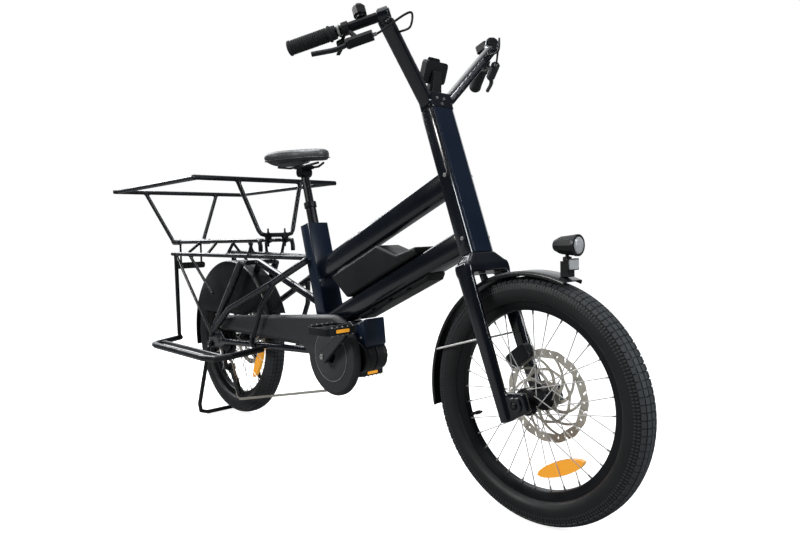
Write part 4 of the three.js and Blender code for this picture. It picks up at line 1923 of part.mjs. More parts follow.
const topOutline = roundedOutline(TOP_TUBE_WIDTH, TOP_TUBE_DEPTH, TUBE_CORNER);
const downOutline = roundedOutline(DOWN_TUBE_WIDTH, DOWN_TUBE_DEPTH, TUBE_CORNER);
add("head_tube", headTube(), FRAME_BLACK, steering);
add("head_tube_cover", headCover(), NAVY, steering);
add("top_tube", frameTube(topLine.end, topLine.start, topOutline, seatAxis, headAxis), FRAME_BLACK);
add("down_tube", frameTube(downLine.end, downLine.start, downOutline, seatAxis, headAxis), FRAME_BLACK);
add("seat_tube", seatTube(), NAVY);
add("skid_plate", skidPlate(), PLASTIC_BLACK);
add("battery", battery(), PLASTIC_BLACK);
add("motor_unit", motorUnit(), PLASTIC_BLACK);
add("motor_cover", motorCover(), NAVY);
bothSides((name, s) => add(`rear_frame_${name}`, rearFrame(s), FRAME_BLACK));
add("rear_brace", rearBrace(), FRAME_BLACK);
add("rack_platform", rackPlatform(), TUBE_BLACK);
bothSides((name, s) => add(`rack_side_${name}`, rackSide(s), TUBE_BLACK));
add("ring_rear", ringRear(), TUBE_BLACK);
add("ring_front", ringFront(), TUBE_BLACK);
bothSides((name, s) => add(`footboard_${name}`, footboard(s), TUBE_BLACK));
add("tail_light", tailLight(), RED_LENS);
add("rear_mudguard", rearGuard(), PLASTIC_BLACK);
add("chain_cover", chainCover(), PLASTIC_GREY);

add("fork", fork(), FRAME_BLACK, steering);
add("front_mudguard", frontGuard(), PLASTIC_BLACK);
add("front_caliper", caliper(frontAxle, CALIPER_ANGLE, LEG_OUT - LEG_WIDTH / 2 - SEAT_GAP), STEEL_DARK);
add("stem", stem(), FRAME_BLACK, steering);
bothSides((name, s) => {
  add(`handlebar_${name}`, handlebar(s), TUBE_BLACK, steering);
  add(`grip_${name}`, grip(s), RUBBER, steering);
  add(`brake_body_${name}`, brakeBody(s), PLASTIC_BLACK, steering);
  add(`brake_lever_${name}`, brakeLever(s), STEEL_DARK, steering);
  add(`brake_hose_${name}`, hose(s), RUBBER, steering);
});
add("shift_lever", shiftLever(), PLASTIC_GREY, steering);
add("bell", bell(), PLASTIC_BLACK, steering);
add("remote", remote(), PLASTIC_BLACK, steering);
add("display", display(), PLASTIC_BLACK, steering);
add("front_reflector", frontReflector(), LENS);
add("front_light", frontLight(), PLASTIC_BLACK);

for (const [name, group, hubHalf] of [
  ["front", frontWheel, FRONT_HUB_HALF],
  ["rear", rearWheel, REAR_HUB_HALF],
]) {
  add(`${name}_tyre`, tyre(), RUBBER, group);
  add(`${name}_wheel`, wheel(hubHalf), SILVER, group);
  add(`${name}_rotor`, rotor().translate(0, ROTOR_OUT, 0), SILVER, group);
}
add("cassette", cassette(), STEEL_DARK, rearWheel);
const leftChainstay = chainstayLine(LEFT);
add(
  "rear_caliper",
  caliper(
    rearAxle, REAR_CALIPER_ANGLE, REAR_HUB_HALF,
    rod(leftChainstay.start, leftChainstay.end, CHAINSTAY_RADIUS + SEAT_GAP, STAY_SIDES),
  ),
  STEEL_DARK,
);

add("crankset", crankset(), FRAME_BLACK, cranks);
for (const [name, s, ahead] of [["right", RIGHT, 1], ["left", LEFT, -1]]) {
  const holder = new THREE.Group();
  const turn = radians(CRANK_ANGLE);
  const alongArm = v(Math.cos(turn), 0, Math.sin(turn));
  holder.position.copy(crankAxle).addScaledVector(alongArm, ahead * CRANK_LENGTH);
  bike.add(holder);
  add(`pedal_${name}`, pedal(s), PLASTIC_BLACK, holder);
}
add("chain", chain(), STEEL_DARK);
add("derailleur_body", derailleurBody(), STEEL_DARK);
add("derailleur_cage", derailleurCage(), STEEL_DARK);
add("stand", stand(), TUBE_BLACK);

add("seatpost_lower", seatPostLower().rotateX(Math.PI / 2), FRAME_BLACK, seatPost);
add("seatpost_upper", seatPostUpper(), FRAME_BLACK);
add("saddle", saddle(), SOFT_BLACK);

const foremost = WHEELBASE + TYRE_RADIUS;
const rearmost = RING_REAR_X - RING_RADIUS;
bike.position.x = -(foremost + rearmost) / 2;

export default bike;
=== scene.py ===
import math

import bmesh
import bpy
from mathutils import Matrix, Vector
from mathutils.geometry import tessellate_polygon


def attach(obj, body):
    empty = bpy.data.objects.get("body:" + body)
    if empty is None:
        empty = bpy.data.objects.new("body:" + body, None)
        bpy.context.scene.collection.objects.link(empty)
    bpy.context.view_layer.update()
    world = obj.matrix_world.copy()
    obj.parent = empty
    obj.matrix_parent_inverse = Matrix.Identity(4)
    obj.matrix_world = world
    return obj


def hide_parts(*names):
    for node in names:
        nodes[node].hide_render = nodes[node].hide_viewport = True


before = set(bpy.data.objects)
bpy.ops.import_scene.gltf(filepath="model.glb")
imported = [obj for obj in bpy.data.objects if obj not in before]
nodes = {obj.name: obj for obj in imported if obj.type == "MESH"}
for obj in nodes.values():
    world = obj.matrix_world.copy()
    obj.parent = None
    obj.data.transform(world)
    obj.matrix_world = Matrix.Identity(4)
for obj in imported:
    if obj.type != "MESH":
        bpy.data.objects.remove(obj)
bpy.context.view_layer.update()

# Sizes in millimetres as the part has them, with x from the rear axle
SHIFT = 542.5
REAR_AXLE = (0, 0, 268)
FRONT_AXLE = (1250, 0, 260)
CRANK = (625, 0, 288)
CRANK_LENGTH = 155
CRANK_TURN = math.radians(37)
PEDAL_OUT = 150
HEAD_BASE = (1100, 0, 566)
HEAD_TILT = math.radians(18.6)
HEAD_SIDE = 44
BAR_INNER = (89, 171)
BAR_END = (-100, 312)
BAR_UP = 519
DISPLAY_FORWARD = 28
DISPLAY_UP = 440
DISPLAY_TILT = math.radians(52)
CHAIN_OUT = 55
CHAIN_PITCH = 12.7
CHAIN_LIFT = 5.85
RING_TEETH = 44
SPROCKET_TEETH = 22
GUIDE_PULLEY = (32, 172)
TENSION_PULLEY = (92, 98)
PULLEY_REACH = 23.6
COVER_RADIUS = 112
COVER_TAIL_X = -22
COVER_TAIL_TOP = 352
COVER_TAIL_LOW = 301
COVER_LOW_END_X = 477
COVER_CORNER = 18
COVER_FACE = 67
GUARD_RADIUS = 272.5
GUARD_STAY_TURN = math.radians(162)
ROTOR_RADIUS = 100.6
SADDLE_REAR_X = 292
SADDLE_LENGTH = 262
SADDLE_WIDTH = 158
SADDLE_NOSE_WIDTH = 42
SADDLE_TOP = 883
SADDLE_THICKNESS = 52
SIDES = ((-1, "right"), (1, "left"))


# Places and outlines
def at(x, y, z):
    """A place in metres in the row frame."""
    return Vector(((x - SHIFT) / 1000, y / 1000, z / 1000))


def on_head(forward, out, up):
    """A place in the steering frame: up runs along the head tube."""
    c, s = math.cos(HEAD_TILT), math.sin(HEAD_TILT)
    return at(HEAD_BASE[0] + forward * c - up * s, out, HEAD_BASE[2] + forward * s + up * c)


def mix(a, b, share):
    return a + (b - a) * share


def turns(count):
    """Equal turns round a full circle."""
    return [2 * math.pi * k / count for k in range(count)]


def polar(radius, turn):
    return radius * math.cos(turn), radius * math.sin(turn)


def around(axle, radius, turn, out=0):
    """A place in metres at a radius and a turn about an axle; out runs along the axle, which is along Y."""
    x, z = polar(radius, turn)
    return at(axle[0] + x, axle[1] + out, axle[2] + z)


def radial(turn):
    """The directions away from an axle and round it."""
    c, s = polar(1, turn)
    return Vector((c, 0, s)), Vector((-s, 0, c))


def circle(radius, steps):
    return [polar(radius, turn) for turn in turns(steps)]


def rounded(width, height, corner, steps):
    """A rectangle's outline with round corners."""
    points = []
    for right, top, start in ((1, 1, 0), (-1, 1, 90), (-1, -1, 180), (1, -1, 270)):
        for k in range(steps + 1):
            a, b = polar(corner, math.radians(start + 90 * k / steps))
            points.append((right * (width / 2 - corner) + a, top * (height / 2 - corner) + b))
    return points


def mirrored(half):
    """A profile of (radius, y) behind its own mirror image."""
    return [(r, -y) for r, y in reversed(half)] + half


def squared(value, power):
    """A sine or cosine made fuller towards its ends, the more so the lower the power."""
    return math.copysign(abs(value) ** power, value)


def add_object(name, data):
    made = bpy.data.objects.new(name, data)
    bpy.context.scene.collection.objects.link(made)
    return made


# Shader nodes
def add_node(tree, kind, values=None):
    """A shader node; values are the constants of its inputs, by name."""
    made = tree.nodes.new("ShaderNode" + kind)
    for key, value in (values or {}).items():
        made.inputs[key].default_value = value
    return made


def operate(tree, kind, operation, *sources):
    """A math node that takes its inputs from other nodes' outputs."""
    made = add_node(tree, kind)
    made.operation = operation
    for socket, source in zip(made.inputs, sources):
        tree.links.new(source, socket)
    return made


def into_range(tree, source, low, high, to_low, to_high, curve="LINEAR"):
    """A value taken from one range into another."""
    made = add_node(tree, "MapRange", {"From Min": low, "From Max": high,
                                       "To Min": to_low, "To Max": to_high})
    made.interpolation_type = curve
    tree.links.new(source, made.inputs["Value"])
    return made.outputs["Result"]


def color_mix(tree, share, first, second):
    """A node that turns one colour into another by a share."""
    made = add_node(tree, "Mix")
    made.data_type = "RGBA"
    made.inputs[6].default_value = (*first, 1)
    made.inputs[7].default_value = (*second, 1)
    tree.links.new(share, made.inputs["Factor"])
    return made


def by_ray(tree, seen, unseen):
    """One shader for what the camera sees directly, and another for reflections and bounced light."""
    choose = add_node(tree, "MixShader")
    tree.links.new(add_node(tree, "LightPath").outputs["Is Camera Ray"], choose.inputs[0])
    tree.links.new(unseen.outputs[0], choose.inputs[1])
    tree.links.new(seen.outputs[0], choose.inputs[2])
    return choose.outputs[0]


# Camera and light
def make_camera():
    data = bpy.data.cameras.new("camera")
    data.sensor_width = 36
    data.lens = 28.986
    camera = add_object("camera", data)
    right = Vector((0.6795037, 0.7331933, -0.0265020))
    up = Vector((-0.0177593, 0.0525493, 0.9984604))
    forward = Vector((-0.7334571, 0.6779869, -0.0487284))
    turn = Matrix((right, up, -forward)).transposed().to_4x4()
    camera.matrix_world = Matrix.Translation((1.50543, -1.11335, 0.613085)) @ turn
    bpy.context.scene.camera = camera


def make_world():
    """White to the camera; to reflections bright beyond the bike, dim overhead and dark elsewhere."""
    world = bpy.data.worlds.new("studio")
    bpy.context.scene.world = world
    world.use_nodes = True
    tree = world.node_tree
    tree.nodes.clear()
    where = add_node(tree, "TexCoord").outputs["Generated"]
    ahead = operate(tree, "VectorMath", "DOT_PRODUCT", where)
    ahead.inputs[1].default_value = (-0.734, 0.679, 0.0)
    beyond = into_range(tree, ahead.outputs["Value"], 0.38, 0.95, 0.02, 0.95, "SMOOTHSTEP")
    split = add_node(tree, "SeparateXYZ")
    tree.links.new(where, split.inputs[0])
    top = into_range(tree, split.outputs["Z"], 0.25, 0.9, 0.0, 0.14, "SMOOTHSTEP")
    reflected = add_node(tree, "Background", {"Color": (0.96, 0.98, 1.0, 1)})
    tree.links.new(operate(tree, "Math", "MAXIMUM", beyond, top).outputs[0], reflected.inputs["Strength"])
    seen = add_node(tree, "Background", {"Color": (1, 1, 1, 1)})
    tree.links.new(by_ray(tree, seen, reflected), add_node(tree, "OutputWorld").inputs[0])


def area_light(name, place, target, size, power, color=(1, 1, 1)):
    data = bpy.data.lights.new(name, "AREA")
    data.shape = "RECTANGLE"
    data.size, data.size_y = size
    data.energy = power
    data.color = color
    place, target = Vector(place), Vector(target)
    turn = (target - place).to_track_quat("-Z", "Y").to_matrix().to_4x4()
    add_object(name, data).matrix_world = Matrix.Translation(place) @ turn


make_camera()
make_world()
area_light("overhead", (0.0, -0.3, 3.2), (0.1, 0.0, 0.4), (3.4, 2.6), 30)
area_light("key", (-0.8, -3.0, 2.3), (0.0, 0.0, 0.6), (1.0, 0.8), 55, (1.0, 0.98, 0.95))
area_light("back_sky", (-2.4, 0.0, 2.5), (0.0, 0.0, 0.5), (1.6, 2.2), 80, (0.96, 0.98, 1.0))
area_light("side_strip", (3.3, 0.6, 1.7), (0.5, 0.0, 0.6), (0.35, 1.8), 38, (0.92, 0.96, 1.0))
bpy.context.scene.view_settings.view_transform = "Standard"


# Materials
def new_material(name):
    mat = bpy.data.materials.new(name)
    mat.use_nodes = True
    return mat, mat.node_tree, mat.node_tree.nodes["Principled BSDF"]


def surface(name, color, second, rough, metallic=0.0, coat=0.0, grain=900, depth=0.02, patch=14,
            round_edges=0.0, wear=None):
    """A finish with broad changes of colour and gloss and a fine grain in relief.

    Where round_edges is given, sharp edges are shaded as rounded by it, and wear is their colour.
    """
    mat, tree, shader = new_material(name)
    link = tree.links.new
    where = add_node(tree, "TexCoord").outputs["Object"]
    broad = add_node(tree, "TexNoise", {"Scale": patch, "Detail": 4.0})
    link(where, broad.inputs["Vector"])
    fine = add_node(tree, "TexNoise", {"Scale": grain, "Detail": 2.0})
    link(where, fine.inputs["Vector"])
    paint = color_mix(tree, broad.outputs["Fac"], color, second).outputs[2]
    bump = add_node(tree, "Bump", {"Strength": 0.35, "Distance": depth / 1000})
    link(fine.outputs["Fac"], bump.inputs["Height"])
    if round_edges:
        bevel = add_node(tree, "Bevel", {"Radius": round_edges / 1000})
        bevel.samples = 6
        link(bevel.outputs[0], bump.inputs["Normal"])
        if wear:
            flat = add_node(tree, "NewGeometry").outputs["Normal"]
            facing = operate(tree, "VectorMath", "DOT_PRODUCT", bevel.outputs[0], flat)
            edge = into_range(tree, facing.outputs["Value"], 0.97, 0.8, 0.0, 0.5)
            spots = operate(tree, "Math", "MULTIPLY", edge, broad.outputs["Fac"])
            worn = color_mix(tree, spots.outputs[0], color, wear)
            link(paint, worn.inputs[6])
            paint = worn.outputs[2]
    link(paint, shader.inputs["Base Color"])
    link(into_range(tree, broad.outputs["Fac"], 0.3, 0.7, *rough), shader.inputs["Roughness"])
    link(bump.outputs[0], shader.inputs["Normal"])
    shader.inputs["Metallic"].default_value = metallic
    shader.inputs["Coat Weight"].default_value = coat
    shader.inputs["Coat Roughness"].default_value = 0.06
    return mat


def prism_lens(name, color, glow, painted_glow_strength=0.0):
    """A moulded reflector: small prisms under a clear face."""
    mat, tree, shader = new_material(name)
    link = tree.links.new
    cells = add_node(tree, "TexVoronoi", {"Scale": 330.0, "Randomness": 0.15})
    link(add_node(tree, "TexCoord").outputs["Object"], cells.inputs["Vector"])
    # Each prism cell shades from the lens colour towards the brighter glow colour at its rim: painted glints
    tint = color_mix(tree, cells.outputs["Distance"], color, glow)
    bump = add_node(tree, "Bump", {"Strength": 0.6, "Distance": 0.001})
    link(cells.outputs["Distance"], bump.inputs["Height"])
    link(tint.outputs[2], shader.inputs["Base Color"])
    link(bump.outputs[0], shader.inputs["Normal"])
    shader.inputs["Roughness"].default_value = 0.18
    # Painted glow: the lens gives off light of its own, though a reflector is no lamp
    if painted_glow_strength:
        link(tint.outputs[2], shader.inputs["Emission Color"])
        shader.inputs["Emission Strength"].default_value = painted_glow_strength
    shader.inputs["Coat Weight"].default_value = 1.0
    return mat


GLOSS_BLACK = surface("gloss_black", (0.0045, 0.0065, 0.011), (0.008, 0.012, 0.021), (0.16, 0.26), coat=1.0,
                      grain=700, depth=0.006, patch=9)
NAVY = surface("navy_satin", (0.0075, 0.0155, 0.036), (0.010, 0.022, 0.050), (0.24, 0.36), coat=0.5,
               grain=1500, depth=0.02, patch=7, round_edges=1.6, wear=(0.04, 0.05, 0.07))
RACK = surface("rack_black", (0.0075, 0.009, 0.012), (0.014, 0.017, 0.021), (0.24, 0.4), coat=0.35,
               grain=1300, depth=0.01, patch=18)
BAR_BLACK = surface("bar_black", (0.014, 0.015, 0.018), (0.022, 0.023, 0.027), (0.3, 0.42), metallic=0.5,
                    grain=2200, depth=0.015, patch=20, round_edges=3.0)
PLASTIC = surface("black_plastic", (0.0055, 0.0065, 0.008), (0.010, 0.0115, 0.0135), (0.36, 0.52),
                  grain=1900, depth=0.05, patch=12, round_edges=1.6)
GUARD = surface("guard_plastic", (0.007, 0.008, 0.010), (0.013, 0.015, 0.018), (0.24, 0.38), coat=0.25,
                grain=1100, depth=0.03, patch=8)
GREY = surface("cover_grey", (0.034, 0.036, 0.040), (0.046, 0.048, 0.053), (0.34, 0.46),
               grain=1700, depth=0.06, patch=10, wear=(0.1, 0.1, 0.11), round_edges=1.0)
DISC_GREY = surface("disc_grey", (0.050, 0.052, 0.057), (0.066, 0.068, 0.074), (0.36, 0.48),
                    grain=1700, depth=0.05, patch=10)
TYRE = surface("tyre_rubber", (0.011, 0.0125, 0.014), (0.019, 0.021, 0.0235), (0.42, 0.6),
               grain=1200, depth=0.07, patch=16)
TREAD = surface("tread_rubber", (0.055, 0.061, 0.067), (0.085, 0.092, 0.1), (0.5, 0.7),
                grain=900, depth=0.1, patch=24)
GRIP = surface("grip_rubber", (0.012, 0.013, 0.015), (0.02, 0.022, 0.025), (0.55, 0.75),
               grain=1400, depth=0.08)
RIM_BLACK = surface("rim_black", (0.010, 0.011, 0.013), (0.016, 0.018, 0.021), (0.25, 0.38), metallic=0.4,
                    grain=1500, depth=0.015, patch=14)
# Near-white and almost not metallic: partly the steel's own light silver, partly painted reflection that
# keeps spokes and stays bright
SILVER = surface("spoke_silver", (0.95, 0.95, 0.93), (1.0, 1.0, 0.98), (0.2, 0.32), metallic=0.1,
                 grain=900, depth=0.01)
# A light beige steel: partly the rotor's own colour, partly painted reflection that keeps it bright
ROTOR = surface("rotor_steel", (0.72, 0.69, 0.60), (0.9, 0.87, 0.78), (0.25, 0.4), metallic=0.2,
                grain=2600, depth=0.02, patch=40)
CHAIN_STEEL = surface("chain_steel", (0.42, 0.40, 0.35), (0.72, 0.69, 0.62), (0.28, 0.45), metallic=0.3,
                      grain=900, depth=0.03, patch=70)
DARK_STEEL = surface("dark_steel", (0.04, 0.042, 0.046), (0.075, 0.078, 0.082), (0.3, 0.45), metallic=0.9,
                     grain=1500, depth=0.02, patch=30, round_edges=1.0)
BOLT = surface("bolt_silver", (0.55, 0.55, 0.54), (0.7, 0.7, 0.69), (0.2, 0.35), metallic=0.6,
               grain=1200, depth=0.02)
# The saddle is a lighter grey than black leather: painted sheen, standing in for the sky's reflection on its
# top
SHEENED_LEATHER = surface("saddle_leather_painted_sheen", (0.060, 0.064, 0.070), (0.085, 0.090, 0.097), (0.42, 0.5),
                  grain=620, depth=0.012, patch=6)
HOSE = surface("hose_black", (0.012, 0.012, 0.013), (0.02, 0.02, 0.022), (0.35, 0.5),
               grain=800, depth=0.05, round_edges=1.2)
SCREEN = surface("screen_glass", (0.006, 0.007, 0.009), (0.010, 0.012, 0.015), (0.05, 0.09), coat=1.0,
                 grain=300, depth=0.001)
# The amber reflectors glow at strength 0.5: painted glow
AMBER = prism_lens("amber_lens", (1.0, 0.33, 0.01), (1.0, 0.56, 0.06), 0.5)
RED = prism_lens("red_lens", (0.2, 0.006, 0.006), (0.5, 0.03, 0.02))
CLEAR = prism_lens("clear_lens", (0.55, 0.57, 0.58), (0.9, 0.92, 0.93))

FINISHES = {
    GLOSS_BLACK: ["head_tube", "top_tube", "down_tube", "rear_frame_right", "rear_frame_left", "rear_brace",
                  "fork", "stem", "crankset"],
    NAVY: ["head_tube_cover", "seat_tube", "motor_cover"],
    RACK: ["rack_platform", "rack_side_right", "rack_side_left", "ring_rear", "ring_front", "footboard_right",
           "footboard_left", "stand"],
    BAR_BLACK: ["handlebar_right", "handlebar_left", "seatpost_lower", "seatpost_upper"],
    PLASTIC: ["skid_plate", "battery", "motor_unit", "brake_body_right", "brake_body_left", "remote", "bell",
              "pedal_right", "pedal_left", "front_light", "tail_light", "front_reflector", "display",
              "shift_lever"],
    DARK_STEEL: ["front_caliper", "rear_caliper", "brake_lever_right", "brake_lever_left", "derailleur_body",
                 "derailleur_cage", "cassette"],
    HOSE: ["brake_hose_right", "brake_hose_left"],
    GUARD: ["front_mudguard", "rear_mudguard"],
    GREY: ["chain_cover"],
    CHAIN_STEEL: ["chain"],
    ROTOR: ["front_rotor", "rear_rotor"],
    TYRE: ["front_tyre", "rear_tyre"],
    SILVER: ["front_wheel", "rear_wheel"],
    GRIP: ["grip_right", "grip_left"],
    SHEENED_LEATHER: ["saddle"],
}
for finish, names in FINISHES.items():
    for node in names:
        slots = nodes[node].data.materials
        slots.clear()
        slots.append(finish)


# Shapes
class Shape:
    """Points and faces gathered into one piece."""

    def __init__(self):
        self.points, self.faces = [], []

    def grid(self, rings, loop=False, caps=True):
        """Skins rings of the same length; loop joins the last ring to the first."""
        first, size, count = len(self.points), len(rings[0]), len(rings)
        for ring in rings:
            self.points.extend(ring)
        for i in range(count if loop else count - 1):
            here, there = first + i * size, first + (i + 1) % count * size
            for k in range(size):
                following = (k + 1) % size
                self.faces.append((here + k, here + following, there + following, there + k))
        if caps and not loop:
            end = first + (count - 1) * size
            self.faces.append(tuple(range(first + size - 1, first - 1, -1)))
            self.faces.append(tuple(range(end, end + size)))
        return self

    def lathe(self, centre, profile, steps):
        """Turns a closed profile of (radius, y) about the Y axis through centre, in millimetres."""
        rings = [[around(centre, r, turn, y) for r, y in profile] for turn in turns(steps)]
        return self.grid(rings, loop=True)

    def tube(self, path, radius, sides):
        """A round tube along points in metres; the radius is in millimetres."""
        side = (path[1] - path[0]).normalized().orthogonal().normalized()
        rings = []
        for i, point in enumerate(path):
            tangent = (path[min(i + 1, len(path) - 1)] - path[max(i - 1, 0)]).normalized()
            side = (side - tangent * side.dot(tangent)).normalized()
            up = tangent.cross(side)
            rings.append([point + (side * a + up * b) / 1000 for a, b in circle(radius, sides)])
        return self.grid(rings)

    def turned(self, start, direction, profile, sides=24):
        """A turned solid along an axis: profile of (distance, radius) in millimetres from start."""
        along = Vector(direction).normalized()
        side = along.orthogonal().normalized()
        up = along.cross(side)
        spokes = [side * a + up * b for a, b in circle(1, sides)]
        return self.grid([[start + (along * d + spoke * max(r, 0.05)) / 1000 for spoke in spokes]
                          for d, r in profile])

    def slab(self, centre, across, along, normal, outline, thickness, taper=1.0):
        """A flat piece: outline points in millimetres on two directions, raised along normal."""
        across, along, normal = Vector(across), Vector(along), Vector(normal)
        low = [(across * a + along * b) / 1000 for a, b in outline]
        rise = normal * thickness / 1000
        return self.grid([[centre + p for p in low], [centre + p * taper + rise for p in low]])

    def make(self, name, mat, body, slot, sharp=35.0, replaces=()):
        mesh = bpy.data.meshes.new(name)
        mesh.from_pydata([tuple(p) for p in self.points], [], self.faces)
        face_outward(mesh)
        return finish_piece(name, mesh, mat, body, sharp, replaces)


def face_outward(mesh, weld=0.0):
    """Turns all faces outward, after welding the points that lie closer than weld."""
    work = bmesh.new()
    work.from_mesh(mesh)
    if weld:
        bmesh.ops.remove_doubles(work, verts=work.verts, dist=weld)
    bmesh.ops.recalc_face_normals(work, faces=work.faces)
    work.to_mesh(mesh)
    work.free()


def finish_piece(name, mesh, mat, body, sharp, replaces=()):
    """A piece with its material and body, and edges kept sharp above an angle in degrees."""
    mesh.materials.clear()
    mesh.materials.append(mat)
    mesh.polygons.foreach_set("use_smooth", [True] * len(mesh.polygons))
    mesh.set_sharp_from_angle(angle=math.radians(sharp))
    mesh.update()
    piece = add_object(name, mesh)
    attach(piece, body)
    if replaces:
        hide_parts(*replaces)
    return piece


def plate(name, outline, holes, place, from_y, to_y, bevel):
    """The mesh of a flat plate in the XZ plane with holes, in millimetres about the point place."""
    curve = bpy.data.curves.new(name, "CURVE")
    curve.dimensions = "2D"
    curve.fill_mode = "BOTH"
    curve.extrude = (to_y - from_y) / 2000 - bevel / 1000
    curve.bevel_depth = bevel / 1000
    curve.offset = -bevel / 1000
    curve.bevel_resolution = 2
    for loop in [outline, *holes]:
        spline = curve.splines.new("POLY")
        spline.points.add(len(loop) - 1)
        for point, (a, b) in zip(spline.points, loop):
            point.co = (a / 1000, b / 1000, 0, 1)
        spline.use_cyclic_u = True
    holder = bpy.data.objects.new(name, curve)
    mesh = bpy.data.meshes.new_from_object(holder)
    bpy.data.objects.remove(holder)
    bpy.data.curves.remove(curve)
    stand_up = Matrix(((1, 0, 0, 0), (0, 0, -1, 0), (0, 1, 0, 0), (0, 0, 0, 1)))
    mesh.transform(Matrix.Translation(at(place[0], (from_y + to_y) / 2, place[2])) @ stand_up)
    face_outward(mesh, 1e-6)
    mesh.name = name
    return mesh


# Wheels
TYRE_MIDDLE = 231.0
TYRE_RISE = 27.4
TYRE_HALF_WIDTH = 28.8
TYRE_BEAD = (206.0, 11.5)
TREAD_BLOCKS = 112
# Rows of tread blocks: degrees from the crown, width, length and height
TREAD_ROWS = [(0, 11.2, 12.9, 2.0),
              (20, 10.4, 12.9, 2.0), (-20, 10.4, 12.9, 2.0),
              (44, 9.6, 12.6, 2.0), (-44, 9.6, 12.6, 2.0),
              (64, 6.6, 3.6, 1.3), (-64, 6.6, 3.6, 1.3),
              (80, 5.4, 3.0, 0.8), (-80, 5.4, 3.0, 0.8)]
SPOKES = 32
VALVE_TURN = math.radians(200)
ROTOR_WAVES = 15
ROTOR_ARMS = 10
ROTOR_SLOTS = 30
# A slot with cut corners, as shares of its half length and half width
SLOT_SHARES = [(-1, -0.5), (-0.8, -1), (0.8, -1), (1, -0.5), (1, 0.5), (0.8, 1), (-0.8, 1), (-1, 0.5)]


def tyre_line(turn):
    """A tyre's skin at a turn about its own middle, 0 at the crown: radius and out, in millimetres."""
    c, s = polar(1, turn)
    return TYRE_MIDDLE + TYRE_RISE * squared(c, 0.8), TYRE_HALF_WIDTH * squared(s, 0.8)


def make_tyre(end, axle):
    """A casing with a raised band beside the rim, and rows of blocks on it."""
    body = f"{end}_wheel"
    skin = [tyre_line(math.radians(-138 + 276 * k / 40)) for k in range(41)]
    bead_radius, bead_out = TYRE_BEAD
    profile = [(bead_radius, -bead_out), *[(r, y) for r, y in skin if r > 209], TYRE_BEAD]
    profile = [(r, y * 1.012 if 217 < r < 222 else y) for r, y in profile]
    Shape().lathe(axle, profile, 128).make(f"{end}_tyre_casing", TYRE, body, "tyre", 50, [f"{end}_tyre"])
    tread = Shape()
    for lean, wide, long, high in TREAD_ROWS:
        r0, y0 = tyre_line(math.radians(lean))
        r1, y1 = tyre_line(math.radians(lean) + 0.02)
        slope = Vector((r1 - r0, y1 - y0)).normalized()
        for turn in turns(TREAD_BLOCKS if long > 6 else 2 * TREAD_BLOCKS):
            out, along = radial(turn)
            across = out * slope.x + Vector((0, slope.y, 0))
            normal = out * slope.y - Vector((0, slope.x, 0))
            foot = around(axle, r0, turn, y0) - normal * 0.0004
            tread.slab(foot, across, along, normal, rounded(wide, long, 1.0, 1), high, 0.92)
    tread.make(f"{end}_tyre_tread", TREAD, body, "tyre", 30)


def make_wheel(end, axle, hub_half):
    body = f"{end}_wheel"
    rim = mirrored([(202, 13), (207, 13), (207, 15.5), (204, 15.2), (190.5, 9.5), (189, 7)])
    Shape().lathe(axle, rim, 128).make(f"{end}_rim", RIM_BLACK, body, "wheel_metal", 30, [f"{end}_wheel"])
    hub = mirrored([(13.5, 12), (16, 22), (27.5, 26), (29, 27), (29, 29), (27.5, 30), (15, 31),
                    (15, hub_half), (7.4, hub_half)])
    Shape().lathe(axle, hub, 40).make(f"{end}_hub", BAR_BLACK, body, "wheel_metal", 30)
    spokes, nipples = Shape(), Shape()
    for i, turn in enumerate(turns(SPOKES)):
        side = 1 if i % 2 else -1
        lean = 1 if (i // 2) % 2 else -1
        hub_end = around(axle, 26.8, turn + lean * math.radians(60), side * (28 + 2.2 * lean))
        rim_end = around(axle, 191, turn, side * 1.1)
        spokes.tube([hub_end, rim_end], 1.15, 6)
        nipples.turned(rim_end, hub_end - rim_end, [(-2, 2.2), (9, 2.0), (11.5, 1.3)], 6)
    spokes.make(f"{end}_spokes", SILVER, body, "wheel_metal", 40)
    nipples.make(f"{end}_nipples", BOLT, body, "wheel_metal", 40)
    valve = [(-2, 3.6), (18, 3.6), (18.5, 4.6), (30, 4.4), (32, 2.8), (36, 2.6)]
    shape = Shape().turned(around(axle, 190, VALVE_TURN), -radial(VALVE_TURN)[0], valve, 12)
    shape.make(f"{end}_valve", RIM_BLACK, body, "wheel_metal")


def make_rotor(end, axle):
    """A brake rotor with a waved edge, slots through its track and swept arms."""
    body = f"{end}_wheel"
    outline = [polar(ROTOR_RADIUS + 0.9 * math.cos(ROTOR_WAVES * t), t) for t in turns(180)]
    holes = []
    step = 2 * math.pi / ROTOR_ARMS
    for i in range(ROTOR_ARMS):
        for inner, outer, rib in ((33, 55, 9.5), (61, 84, 9.0)):
            window = []
            for edge, radii in ((1, (inner, outer)), (-1, (outer, inner))):
                for k in range(7):
                    r = mix(*radii, k / 6)
                    sweep = (i + 0.030 * (r - 33)) * step
                    window.append(polar(r, sweep + edge * (step / 2 - rib / 2 / r)))
            holes.append(window)
    for i, t in enumerate(turns(ROTOR_SLOTS)):
        r, half_long, lean = (94.8, 5.2, 35) if i % 2 else (90.8, 2.4, -20)
        x, z = polar(r, t)
        c, s = polar(1, t + math.radians(lean))
        holes.append([(x + a * half_long * c - b * 1.9 * s, z + a * half_long * s + b * 1.9 * c)
                      for a, b in SLOT_SHARES])
    holes.append(circle(15.5, 24))
    mesh = plate(f"{end}_rotor_disc", outline, holes, axle, 43, 45, 0.25)
    finish_piece(f"{end}_rotor_disc", mesh, ROTOR, body, 30.0, [f"{end}_rotor"])
    bolts = Shape()
    for t in turns(6):
        bolts.turned(around(axle, 22, t, 45), (0, 1, 0), [(-0.5, 3.4), (1.6, 3.4), (2.2, 2.6)], 12)
    bolts.make(f"{end}_rotor_bolts", BOLT, body, "rotor_steel")


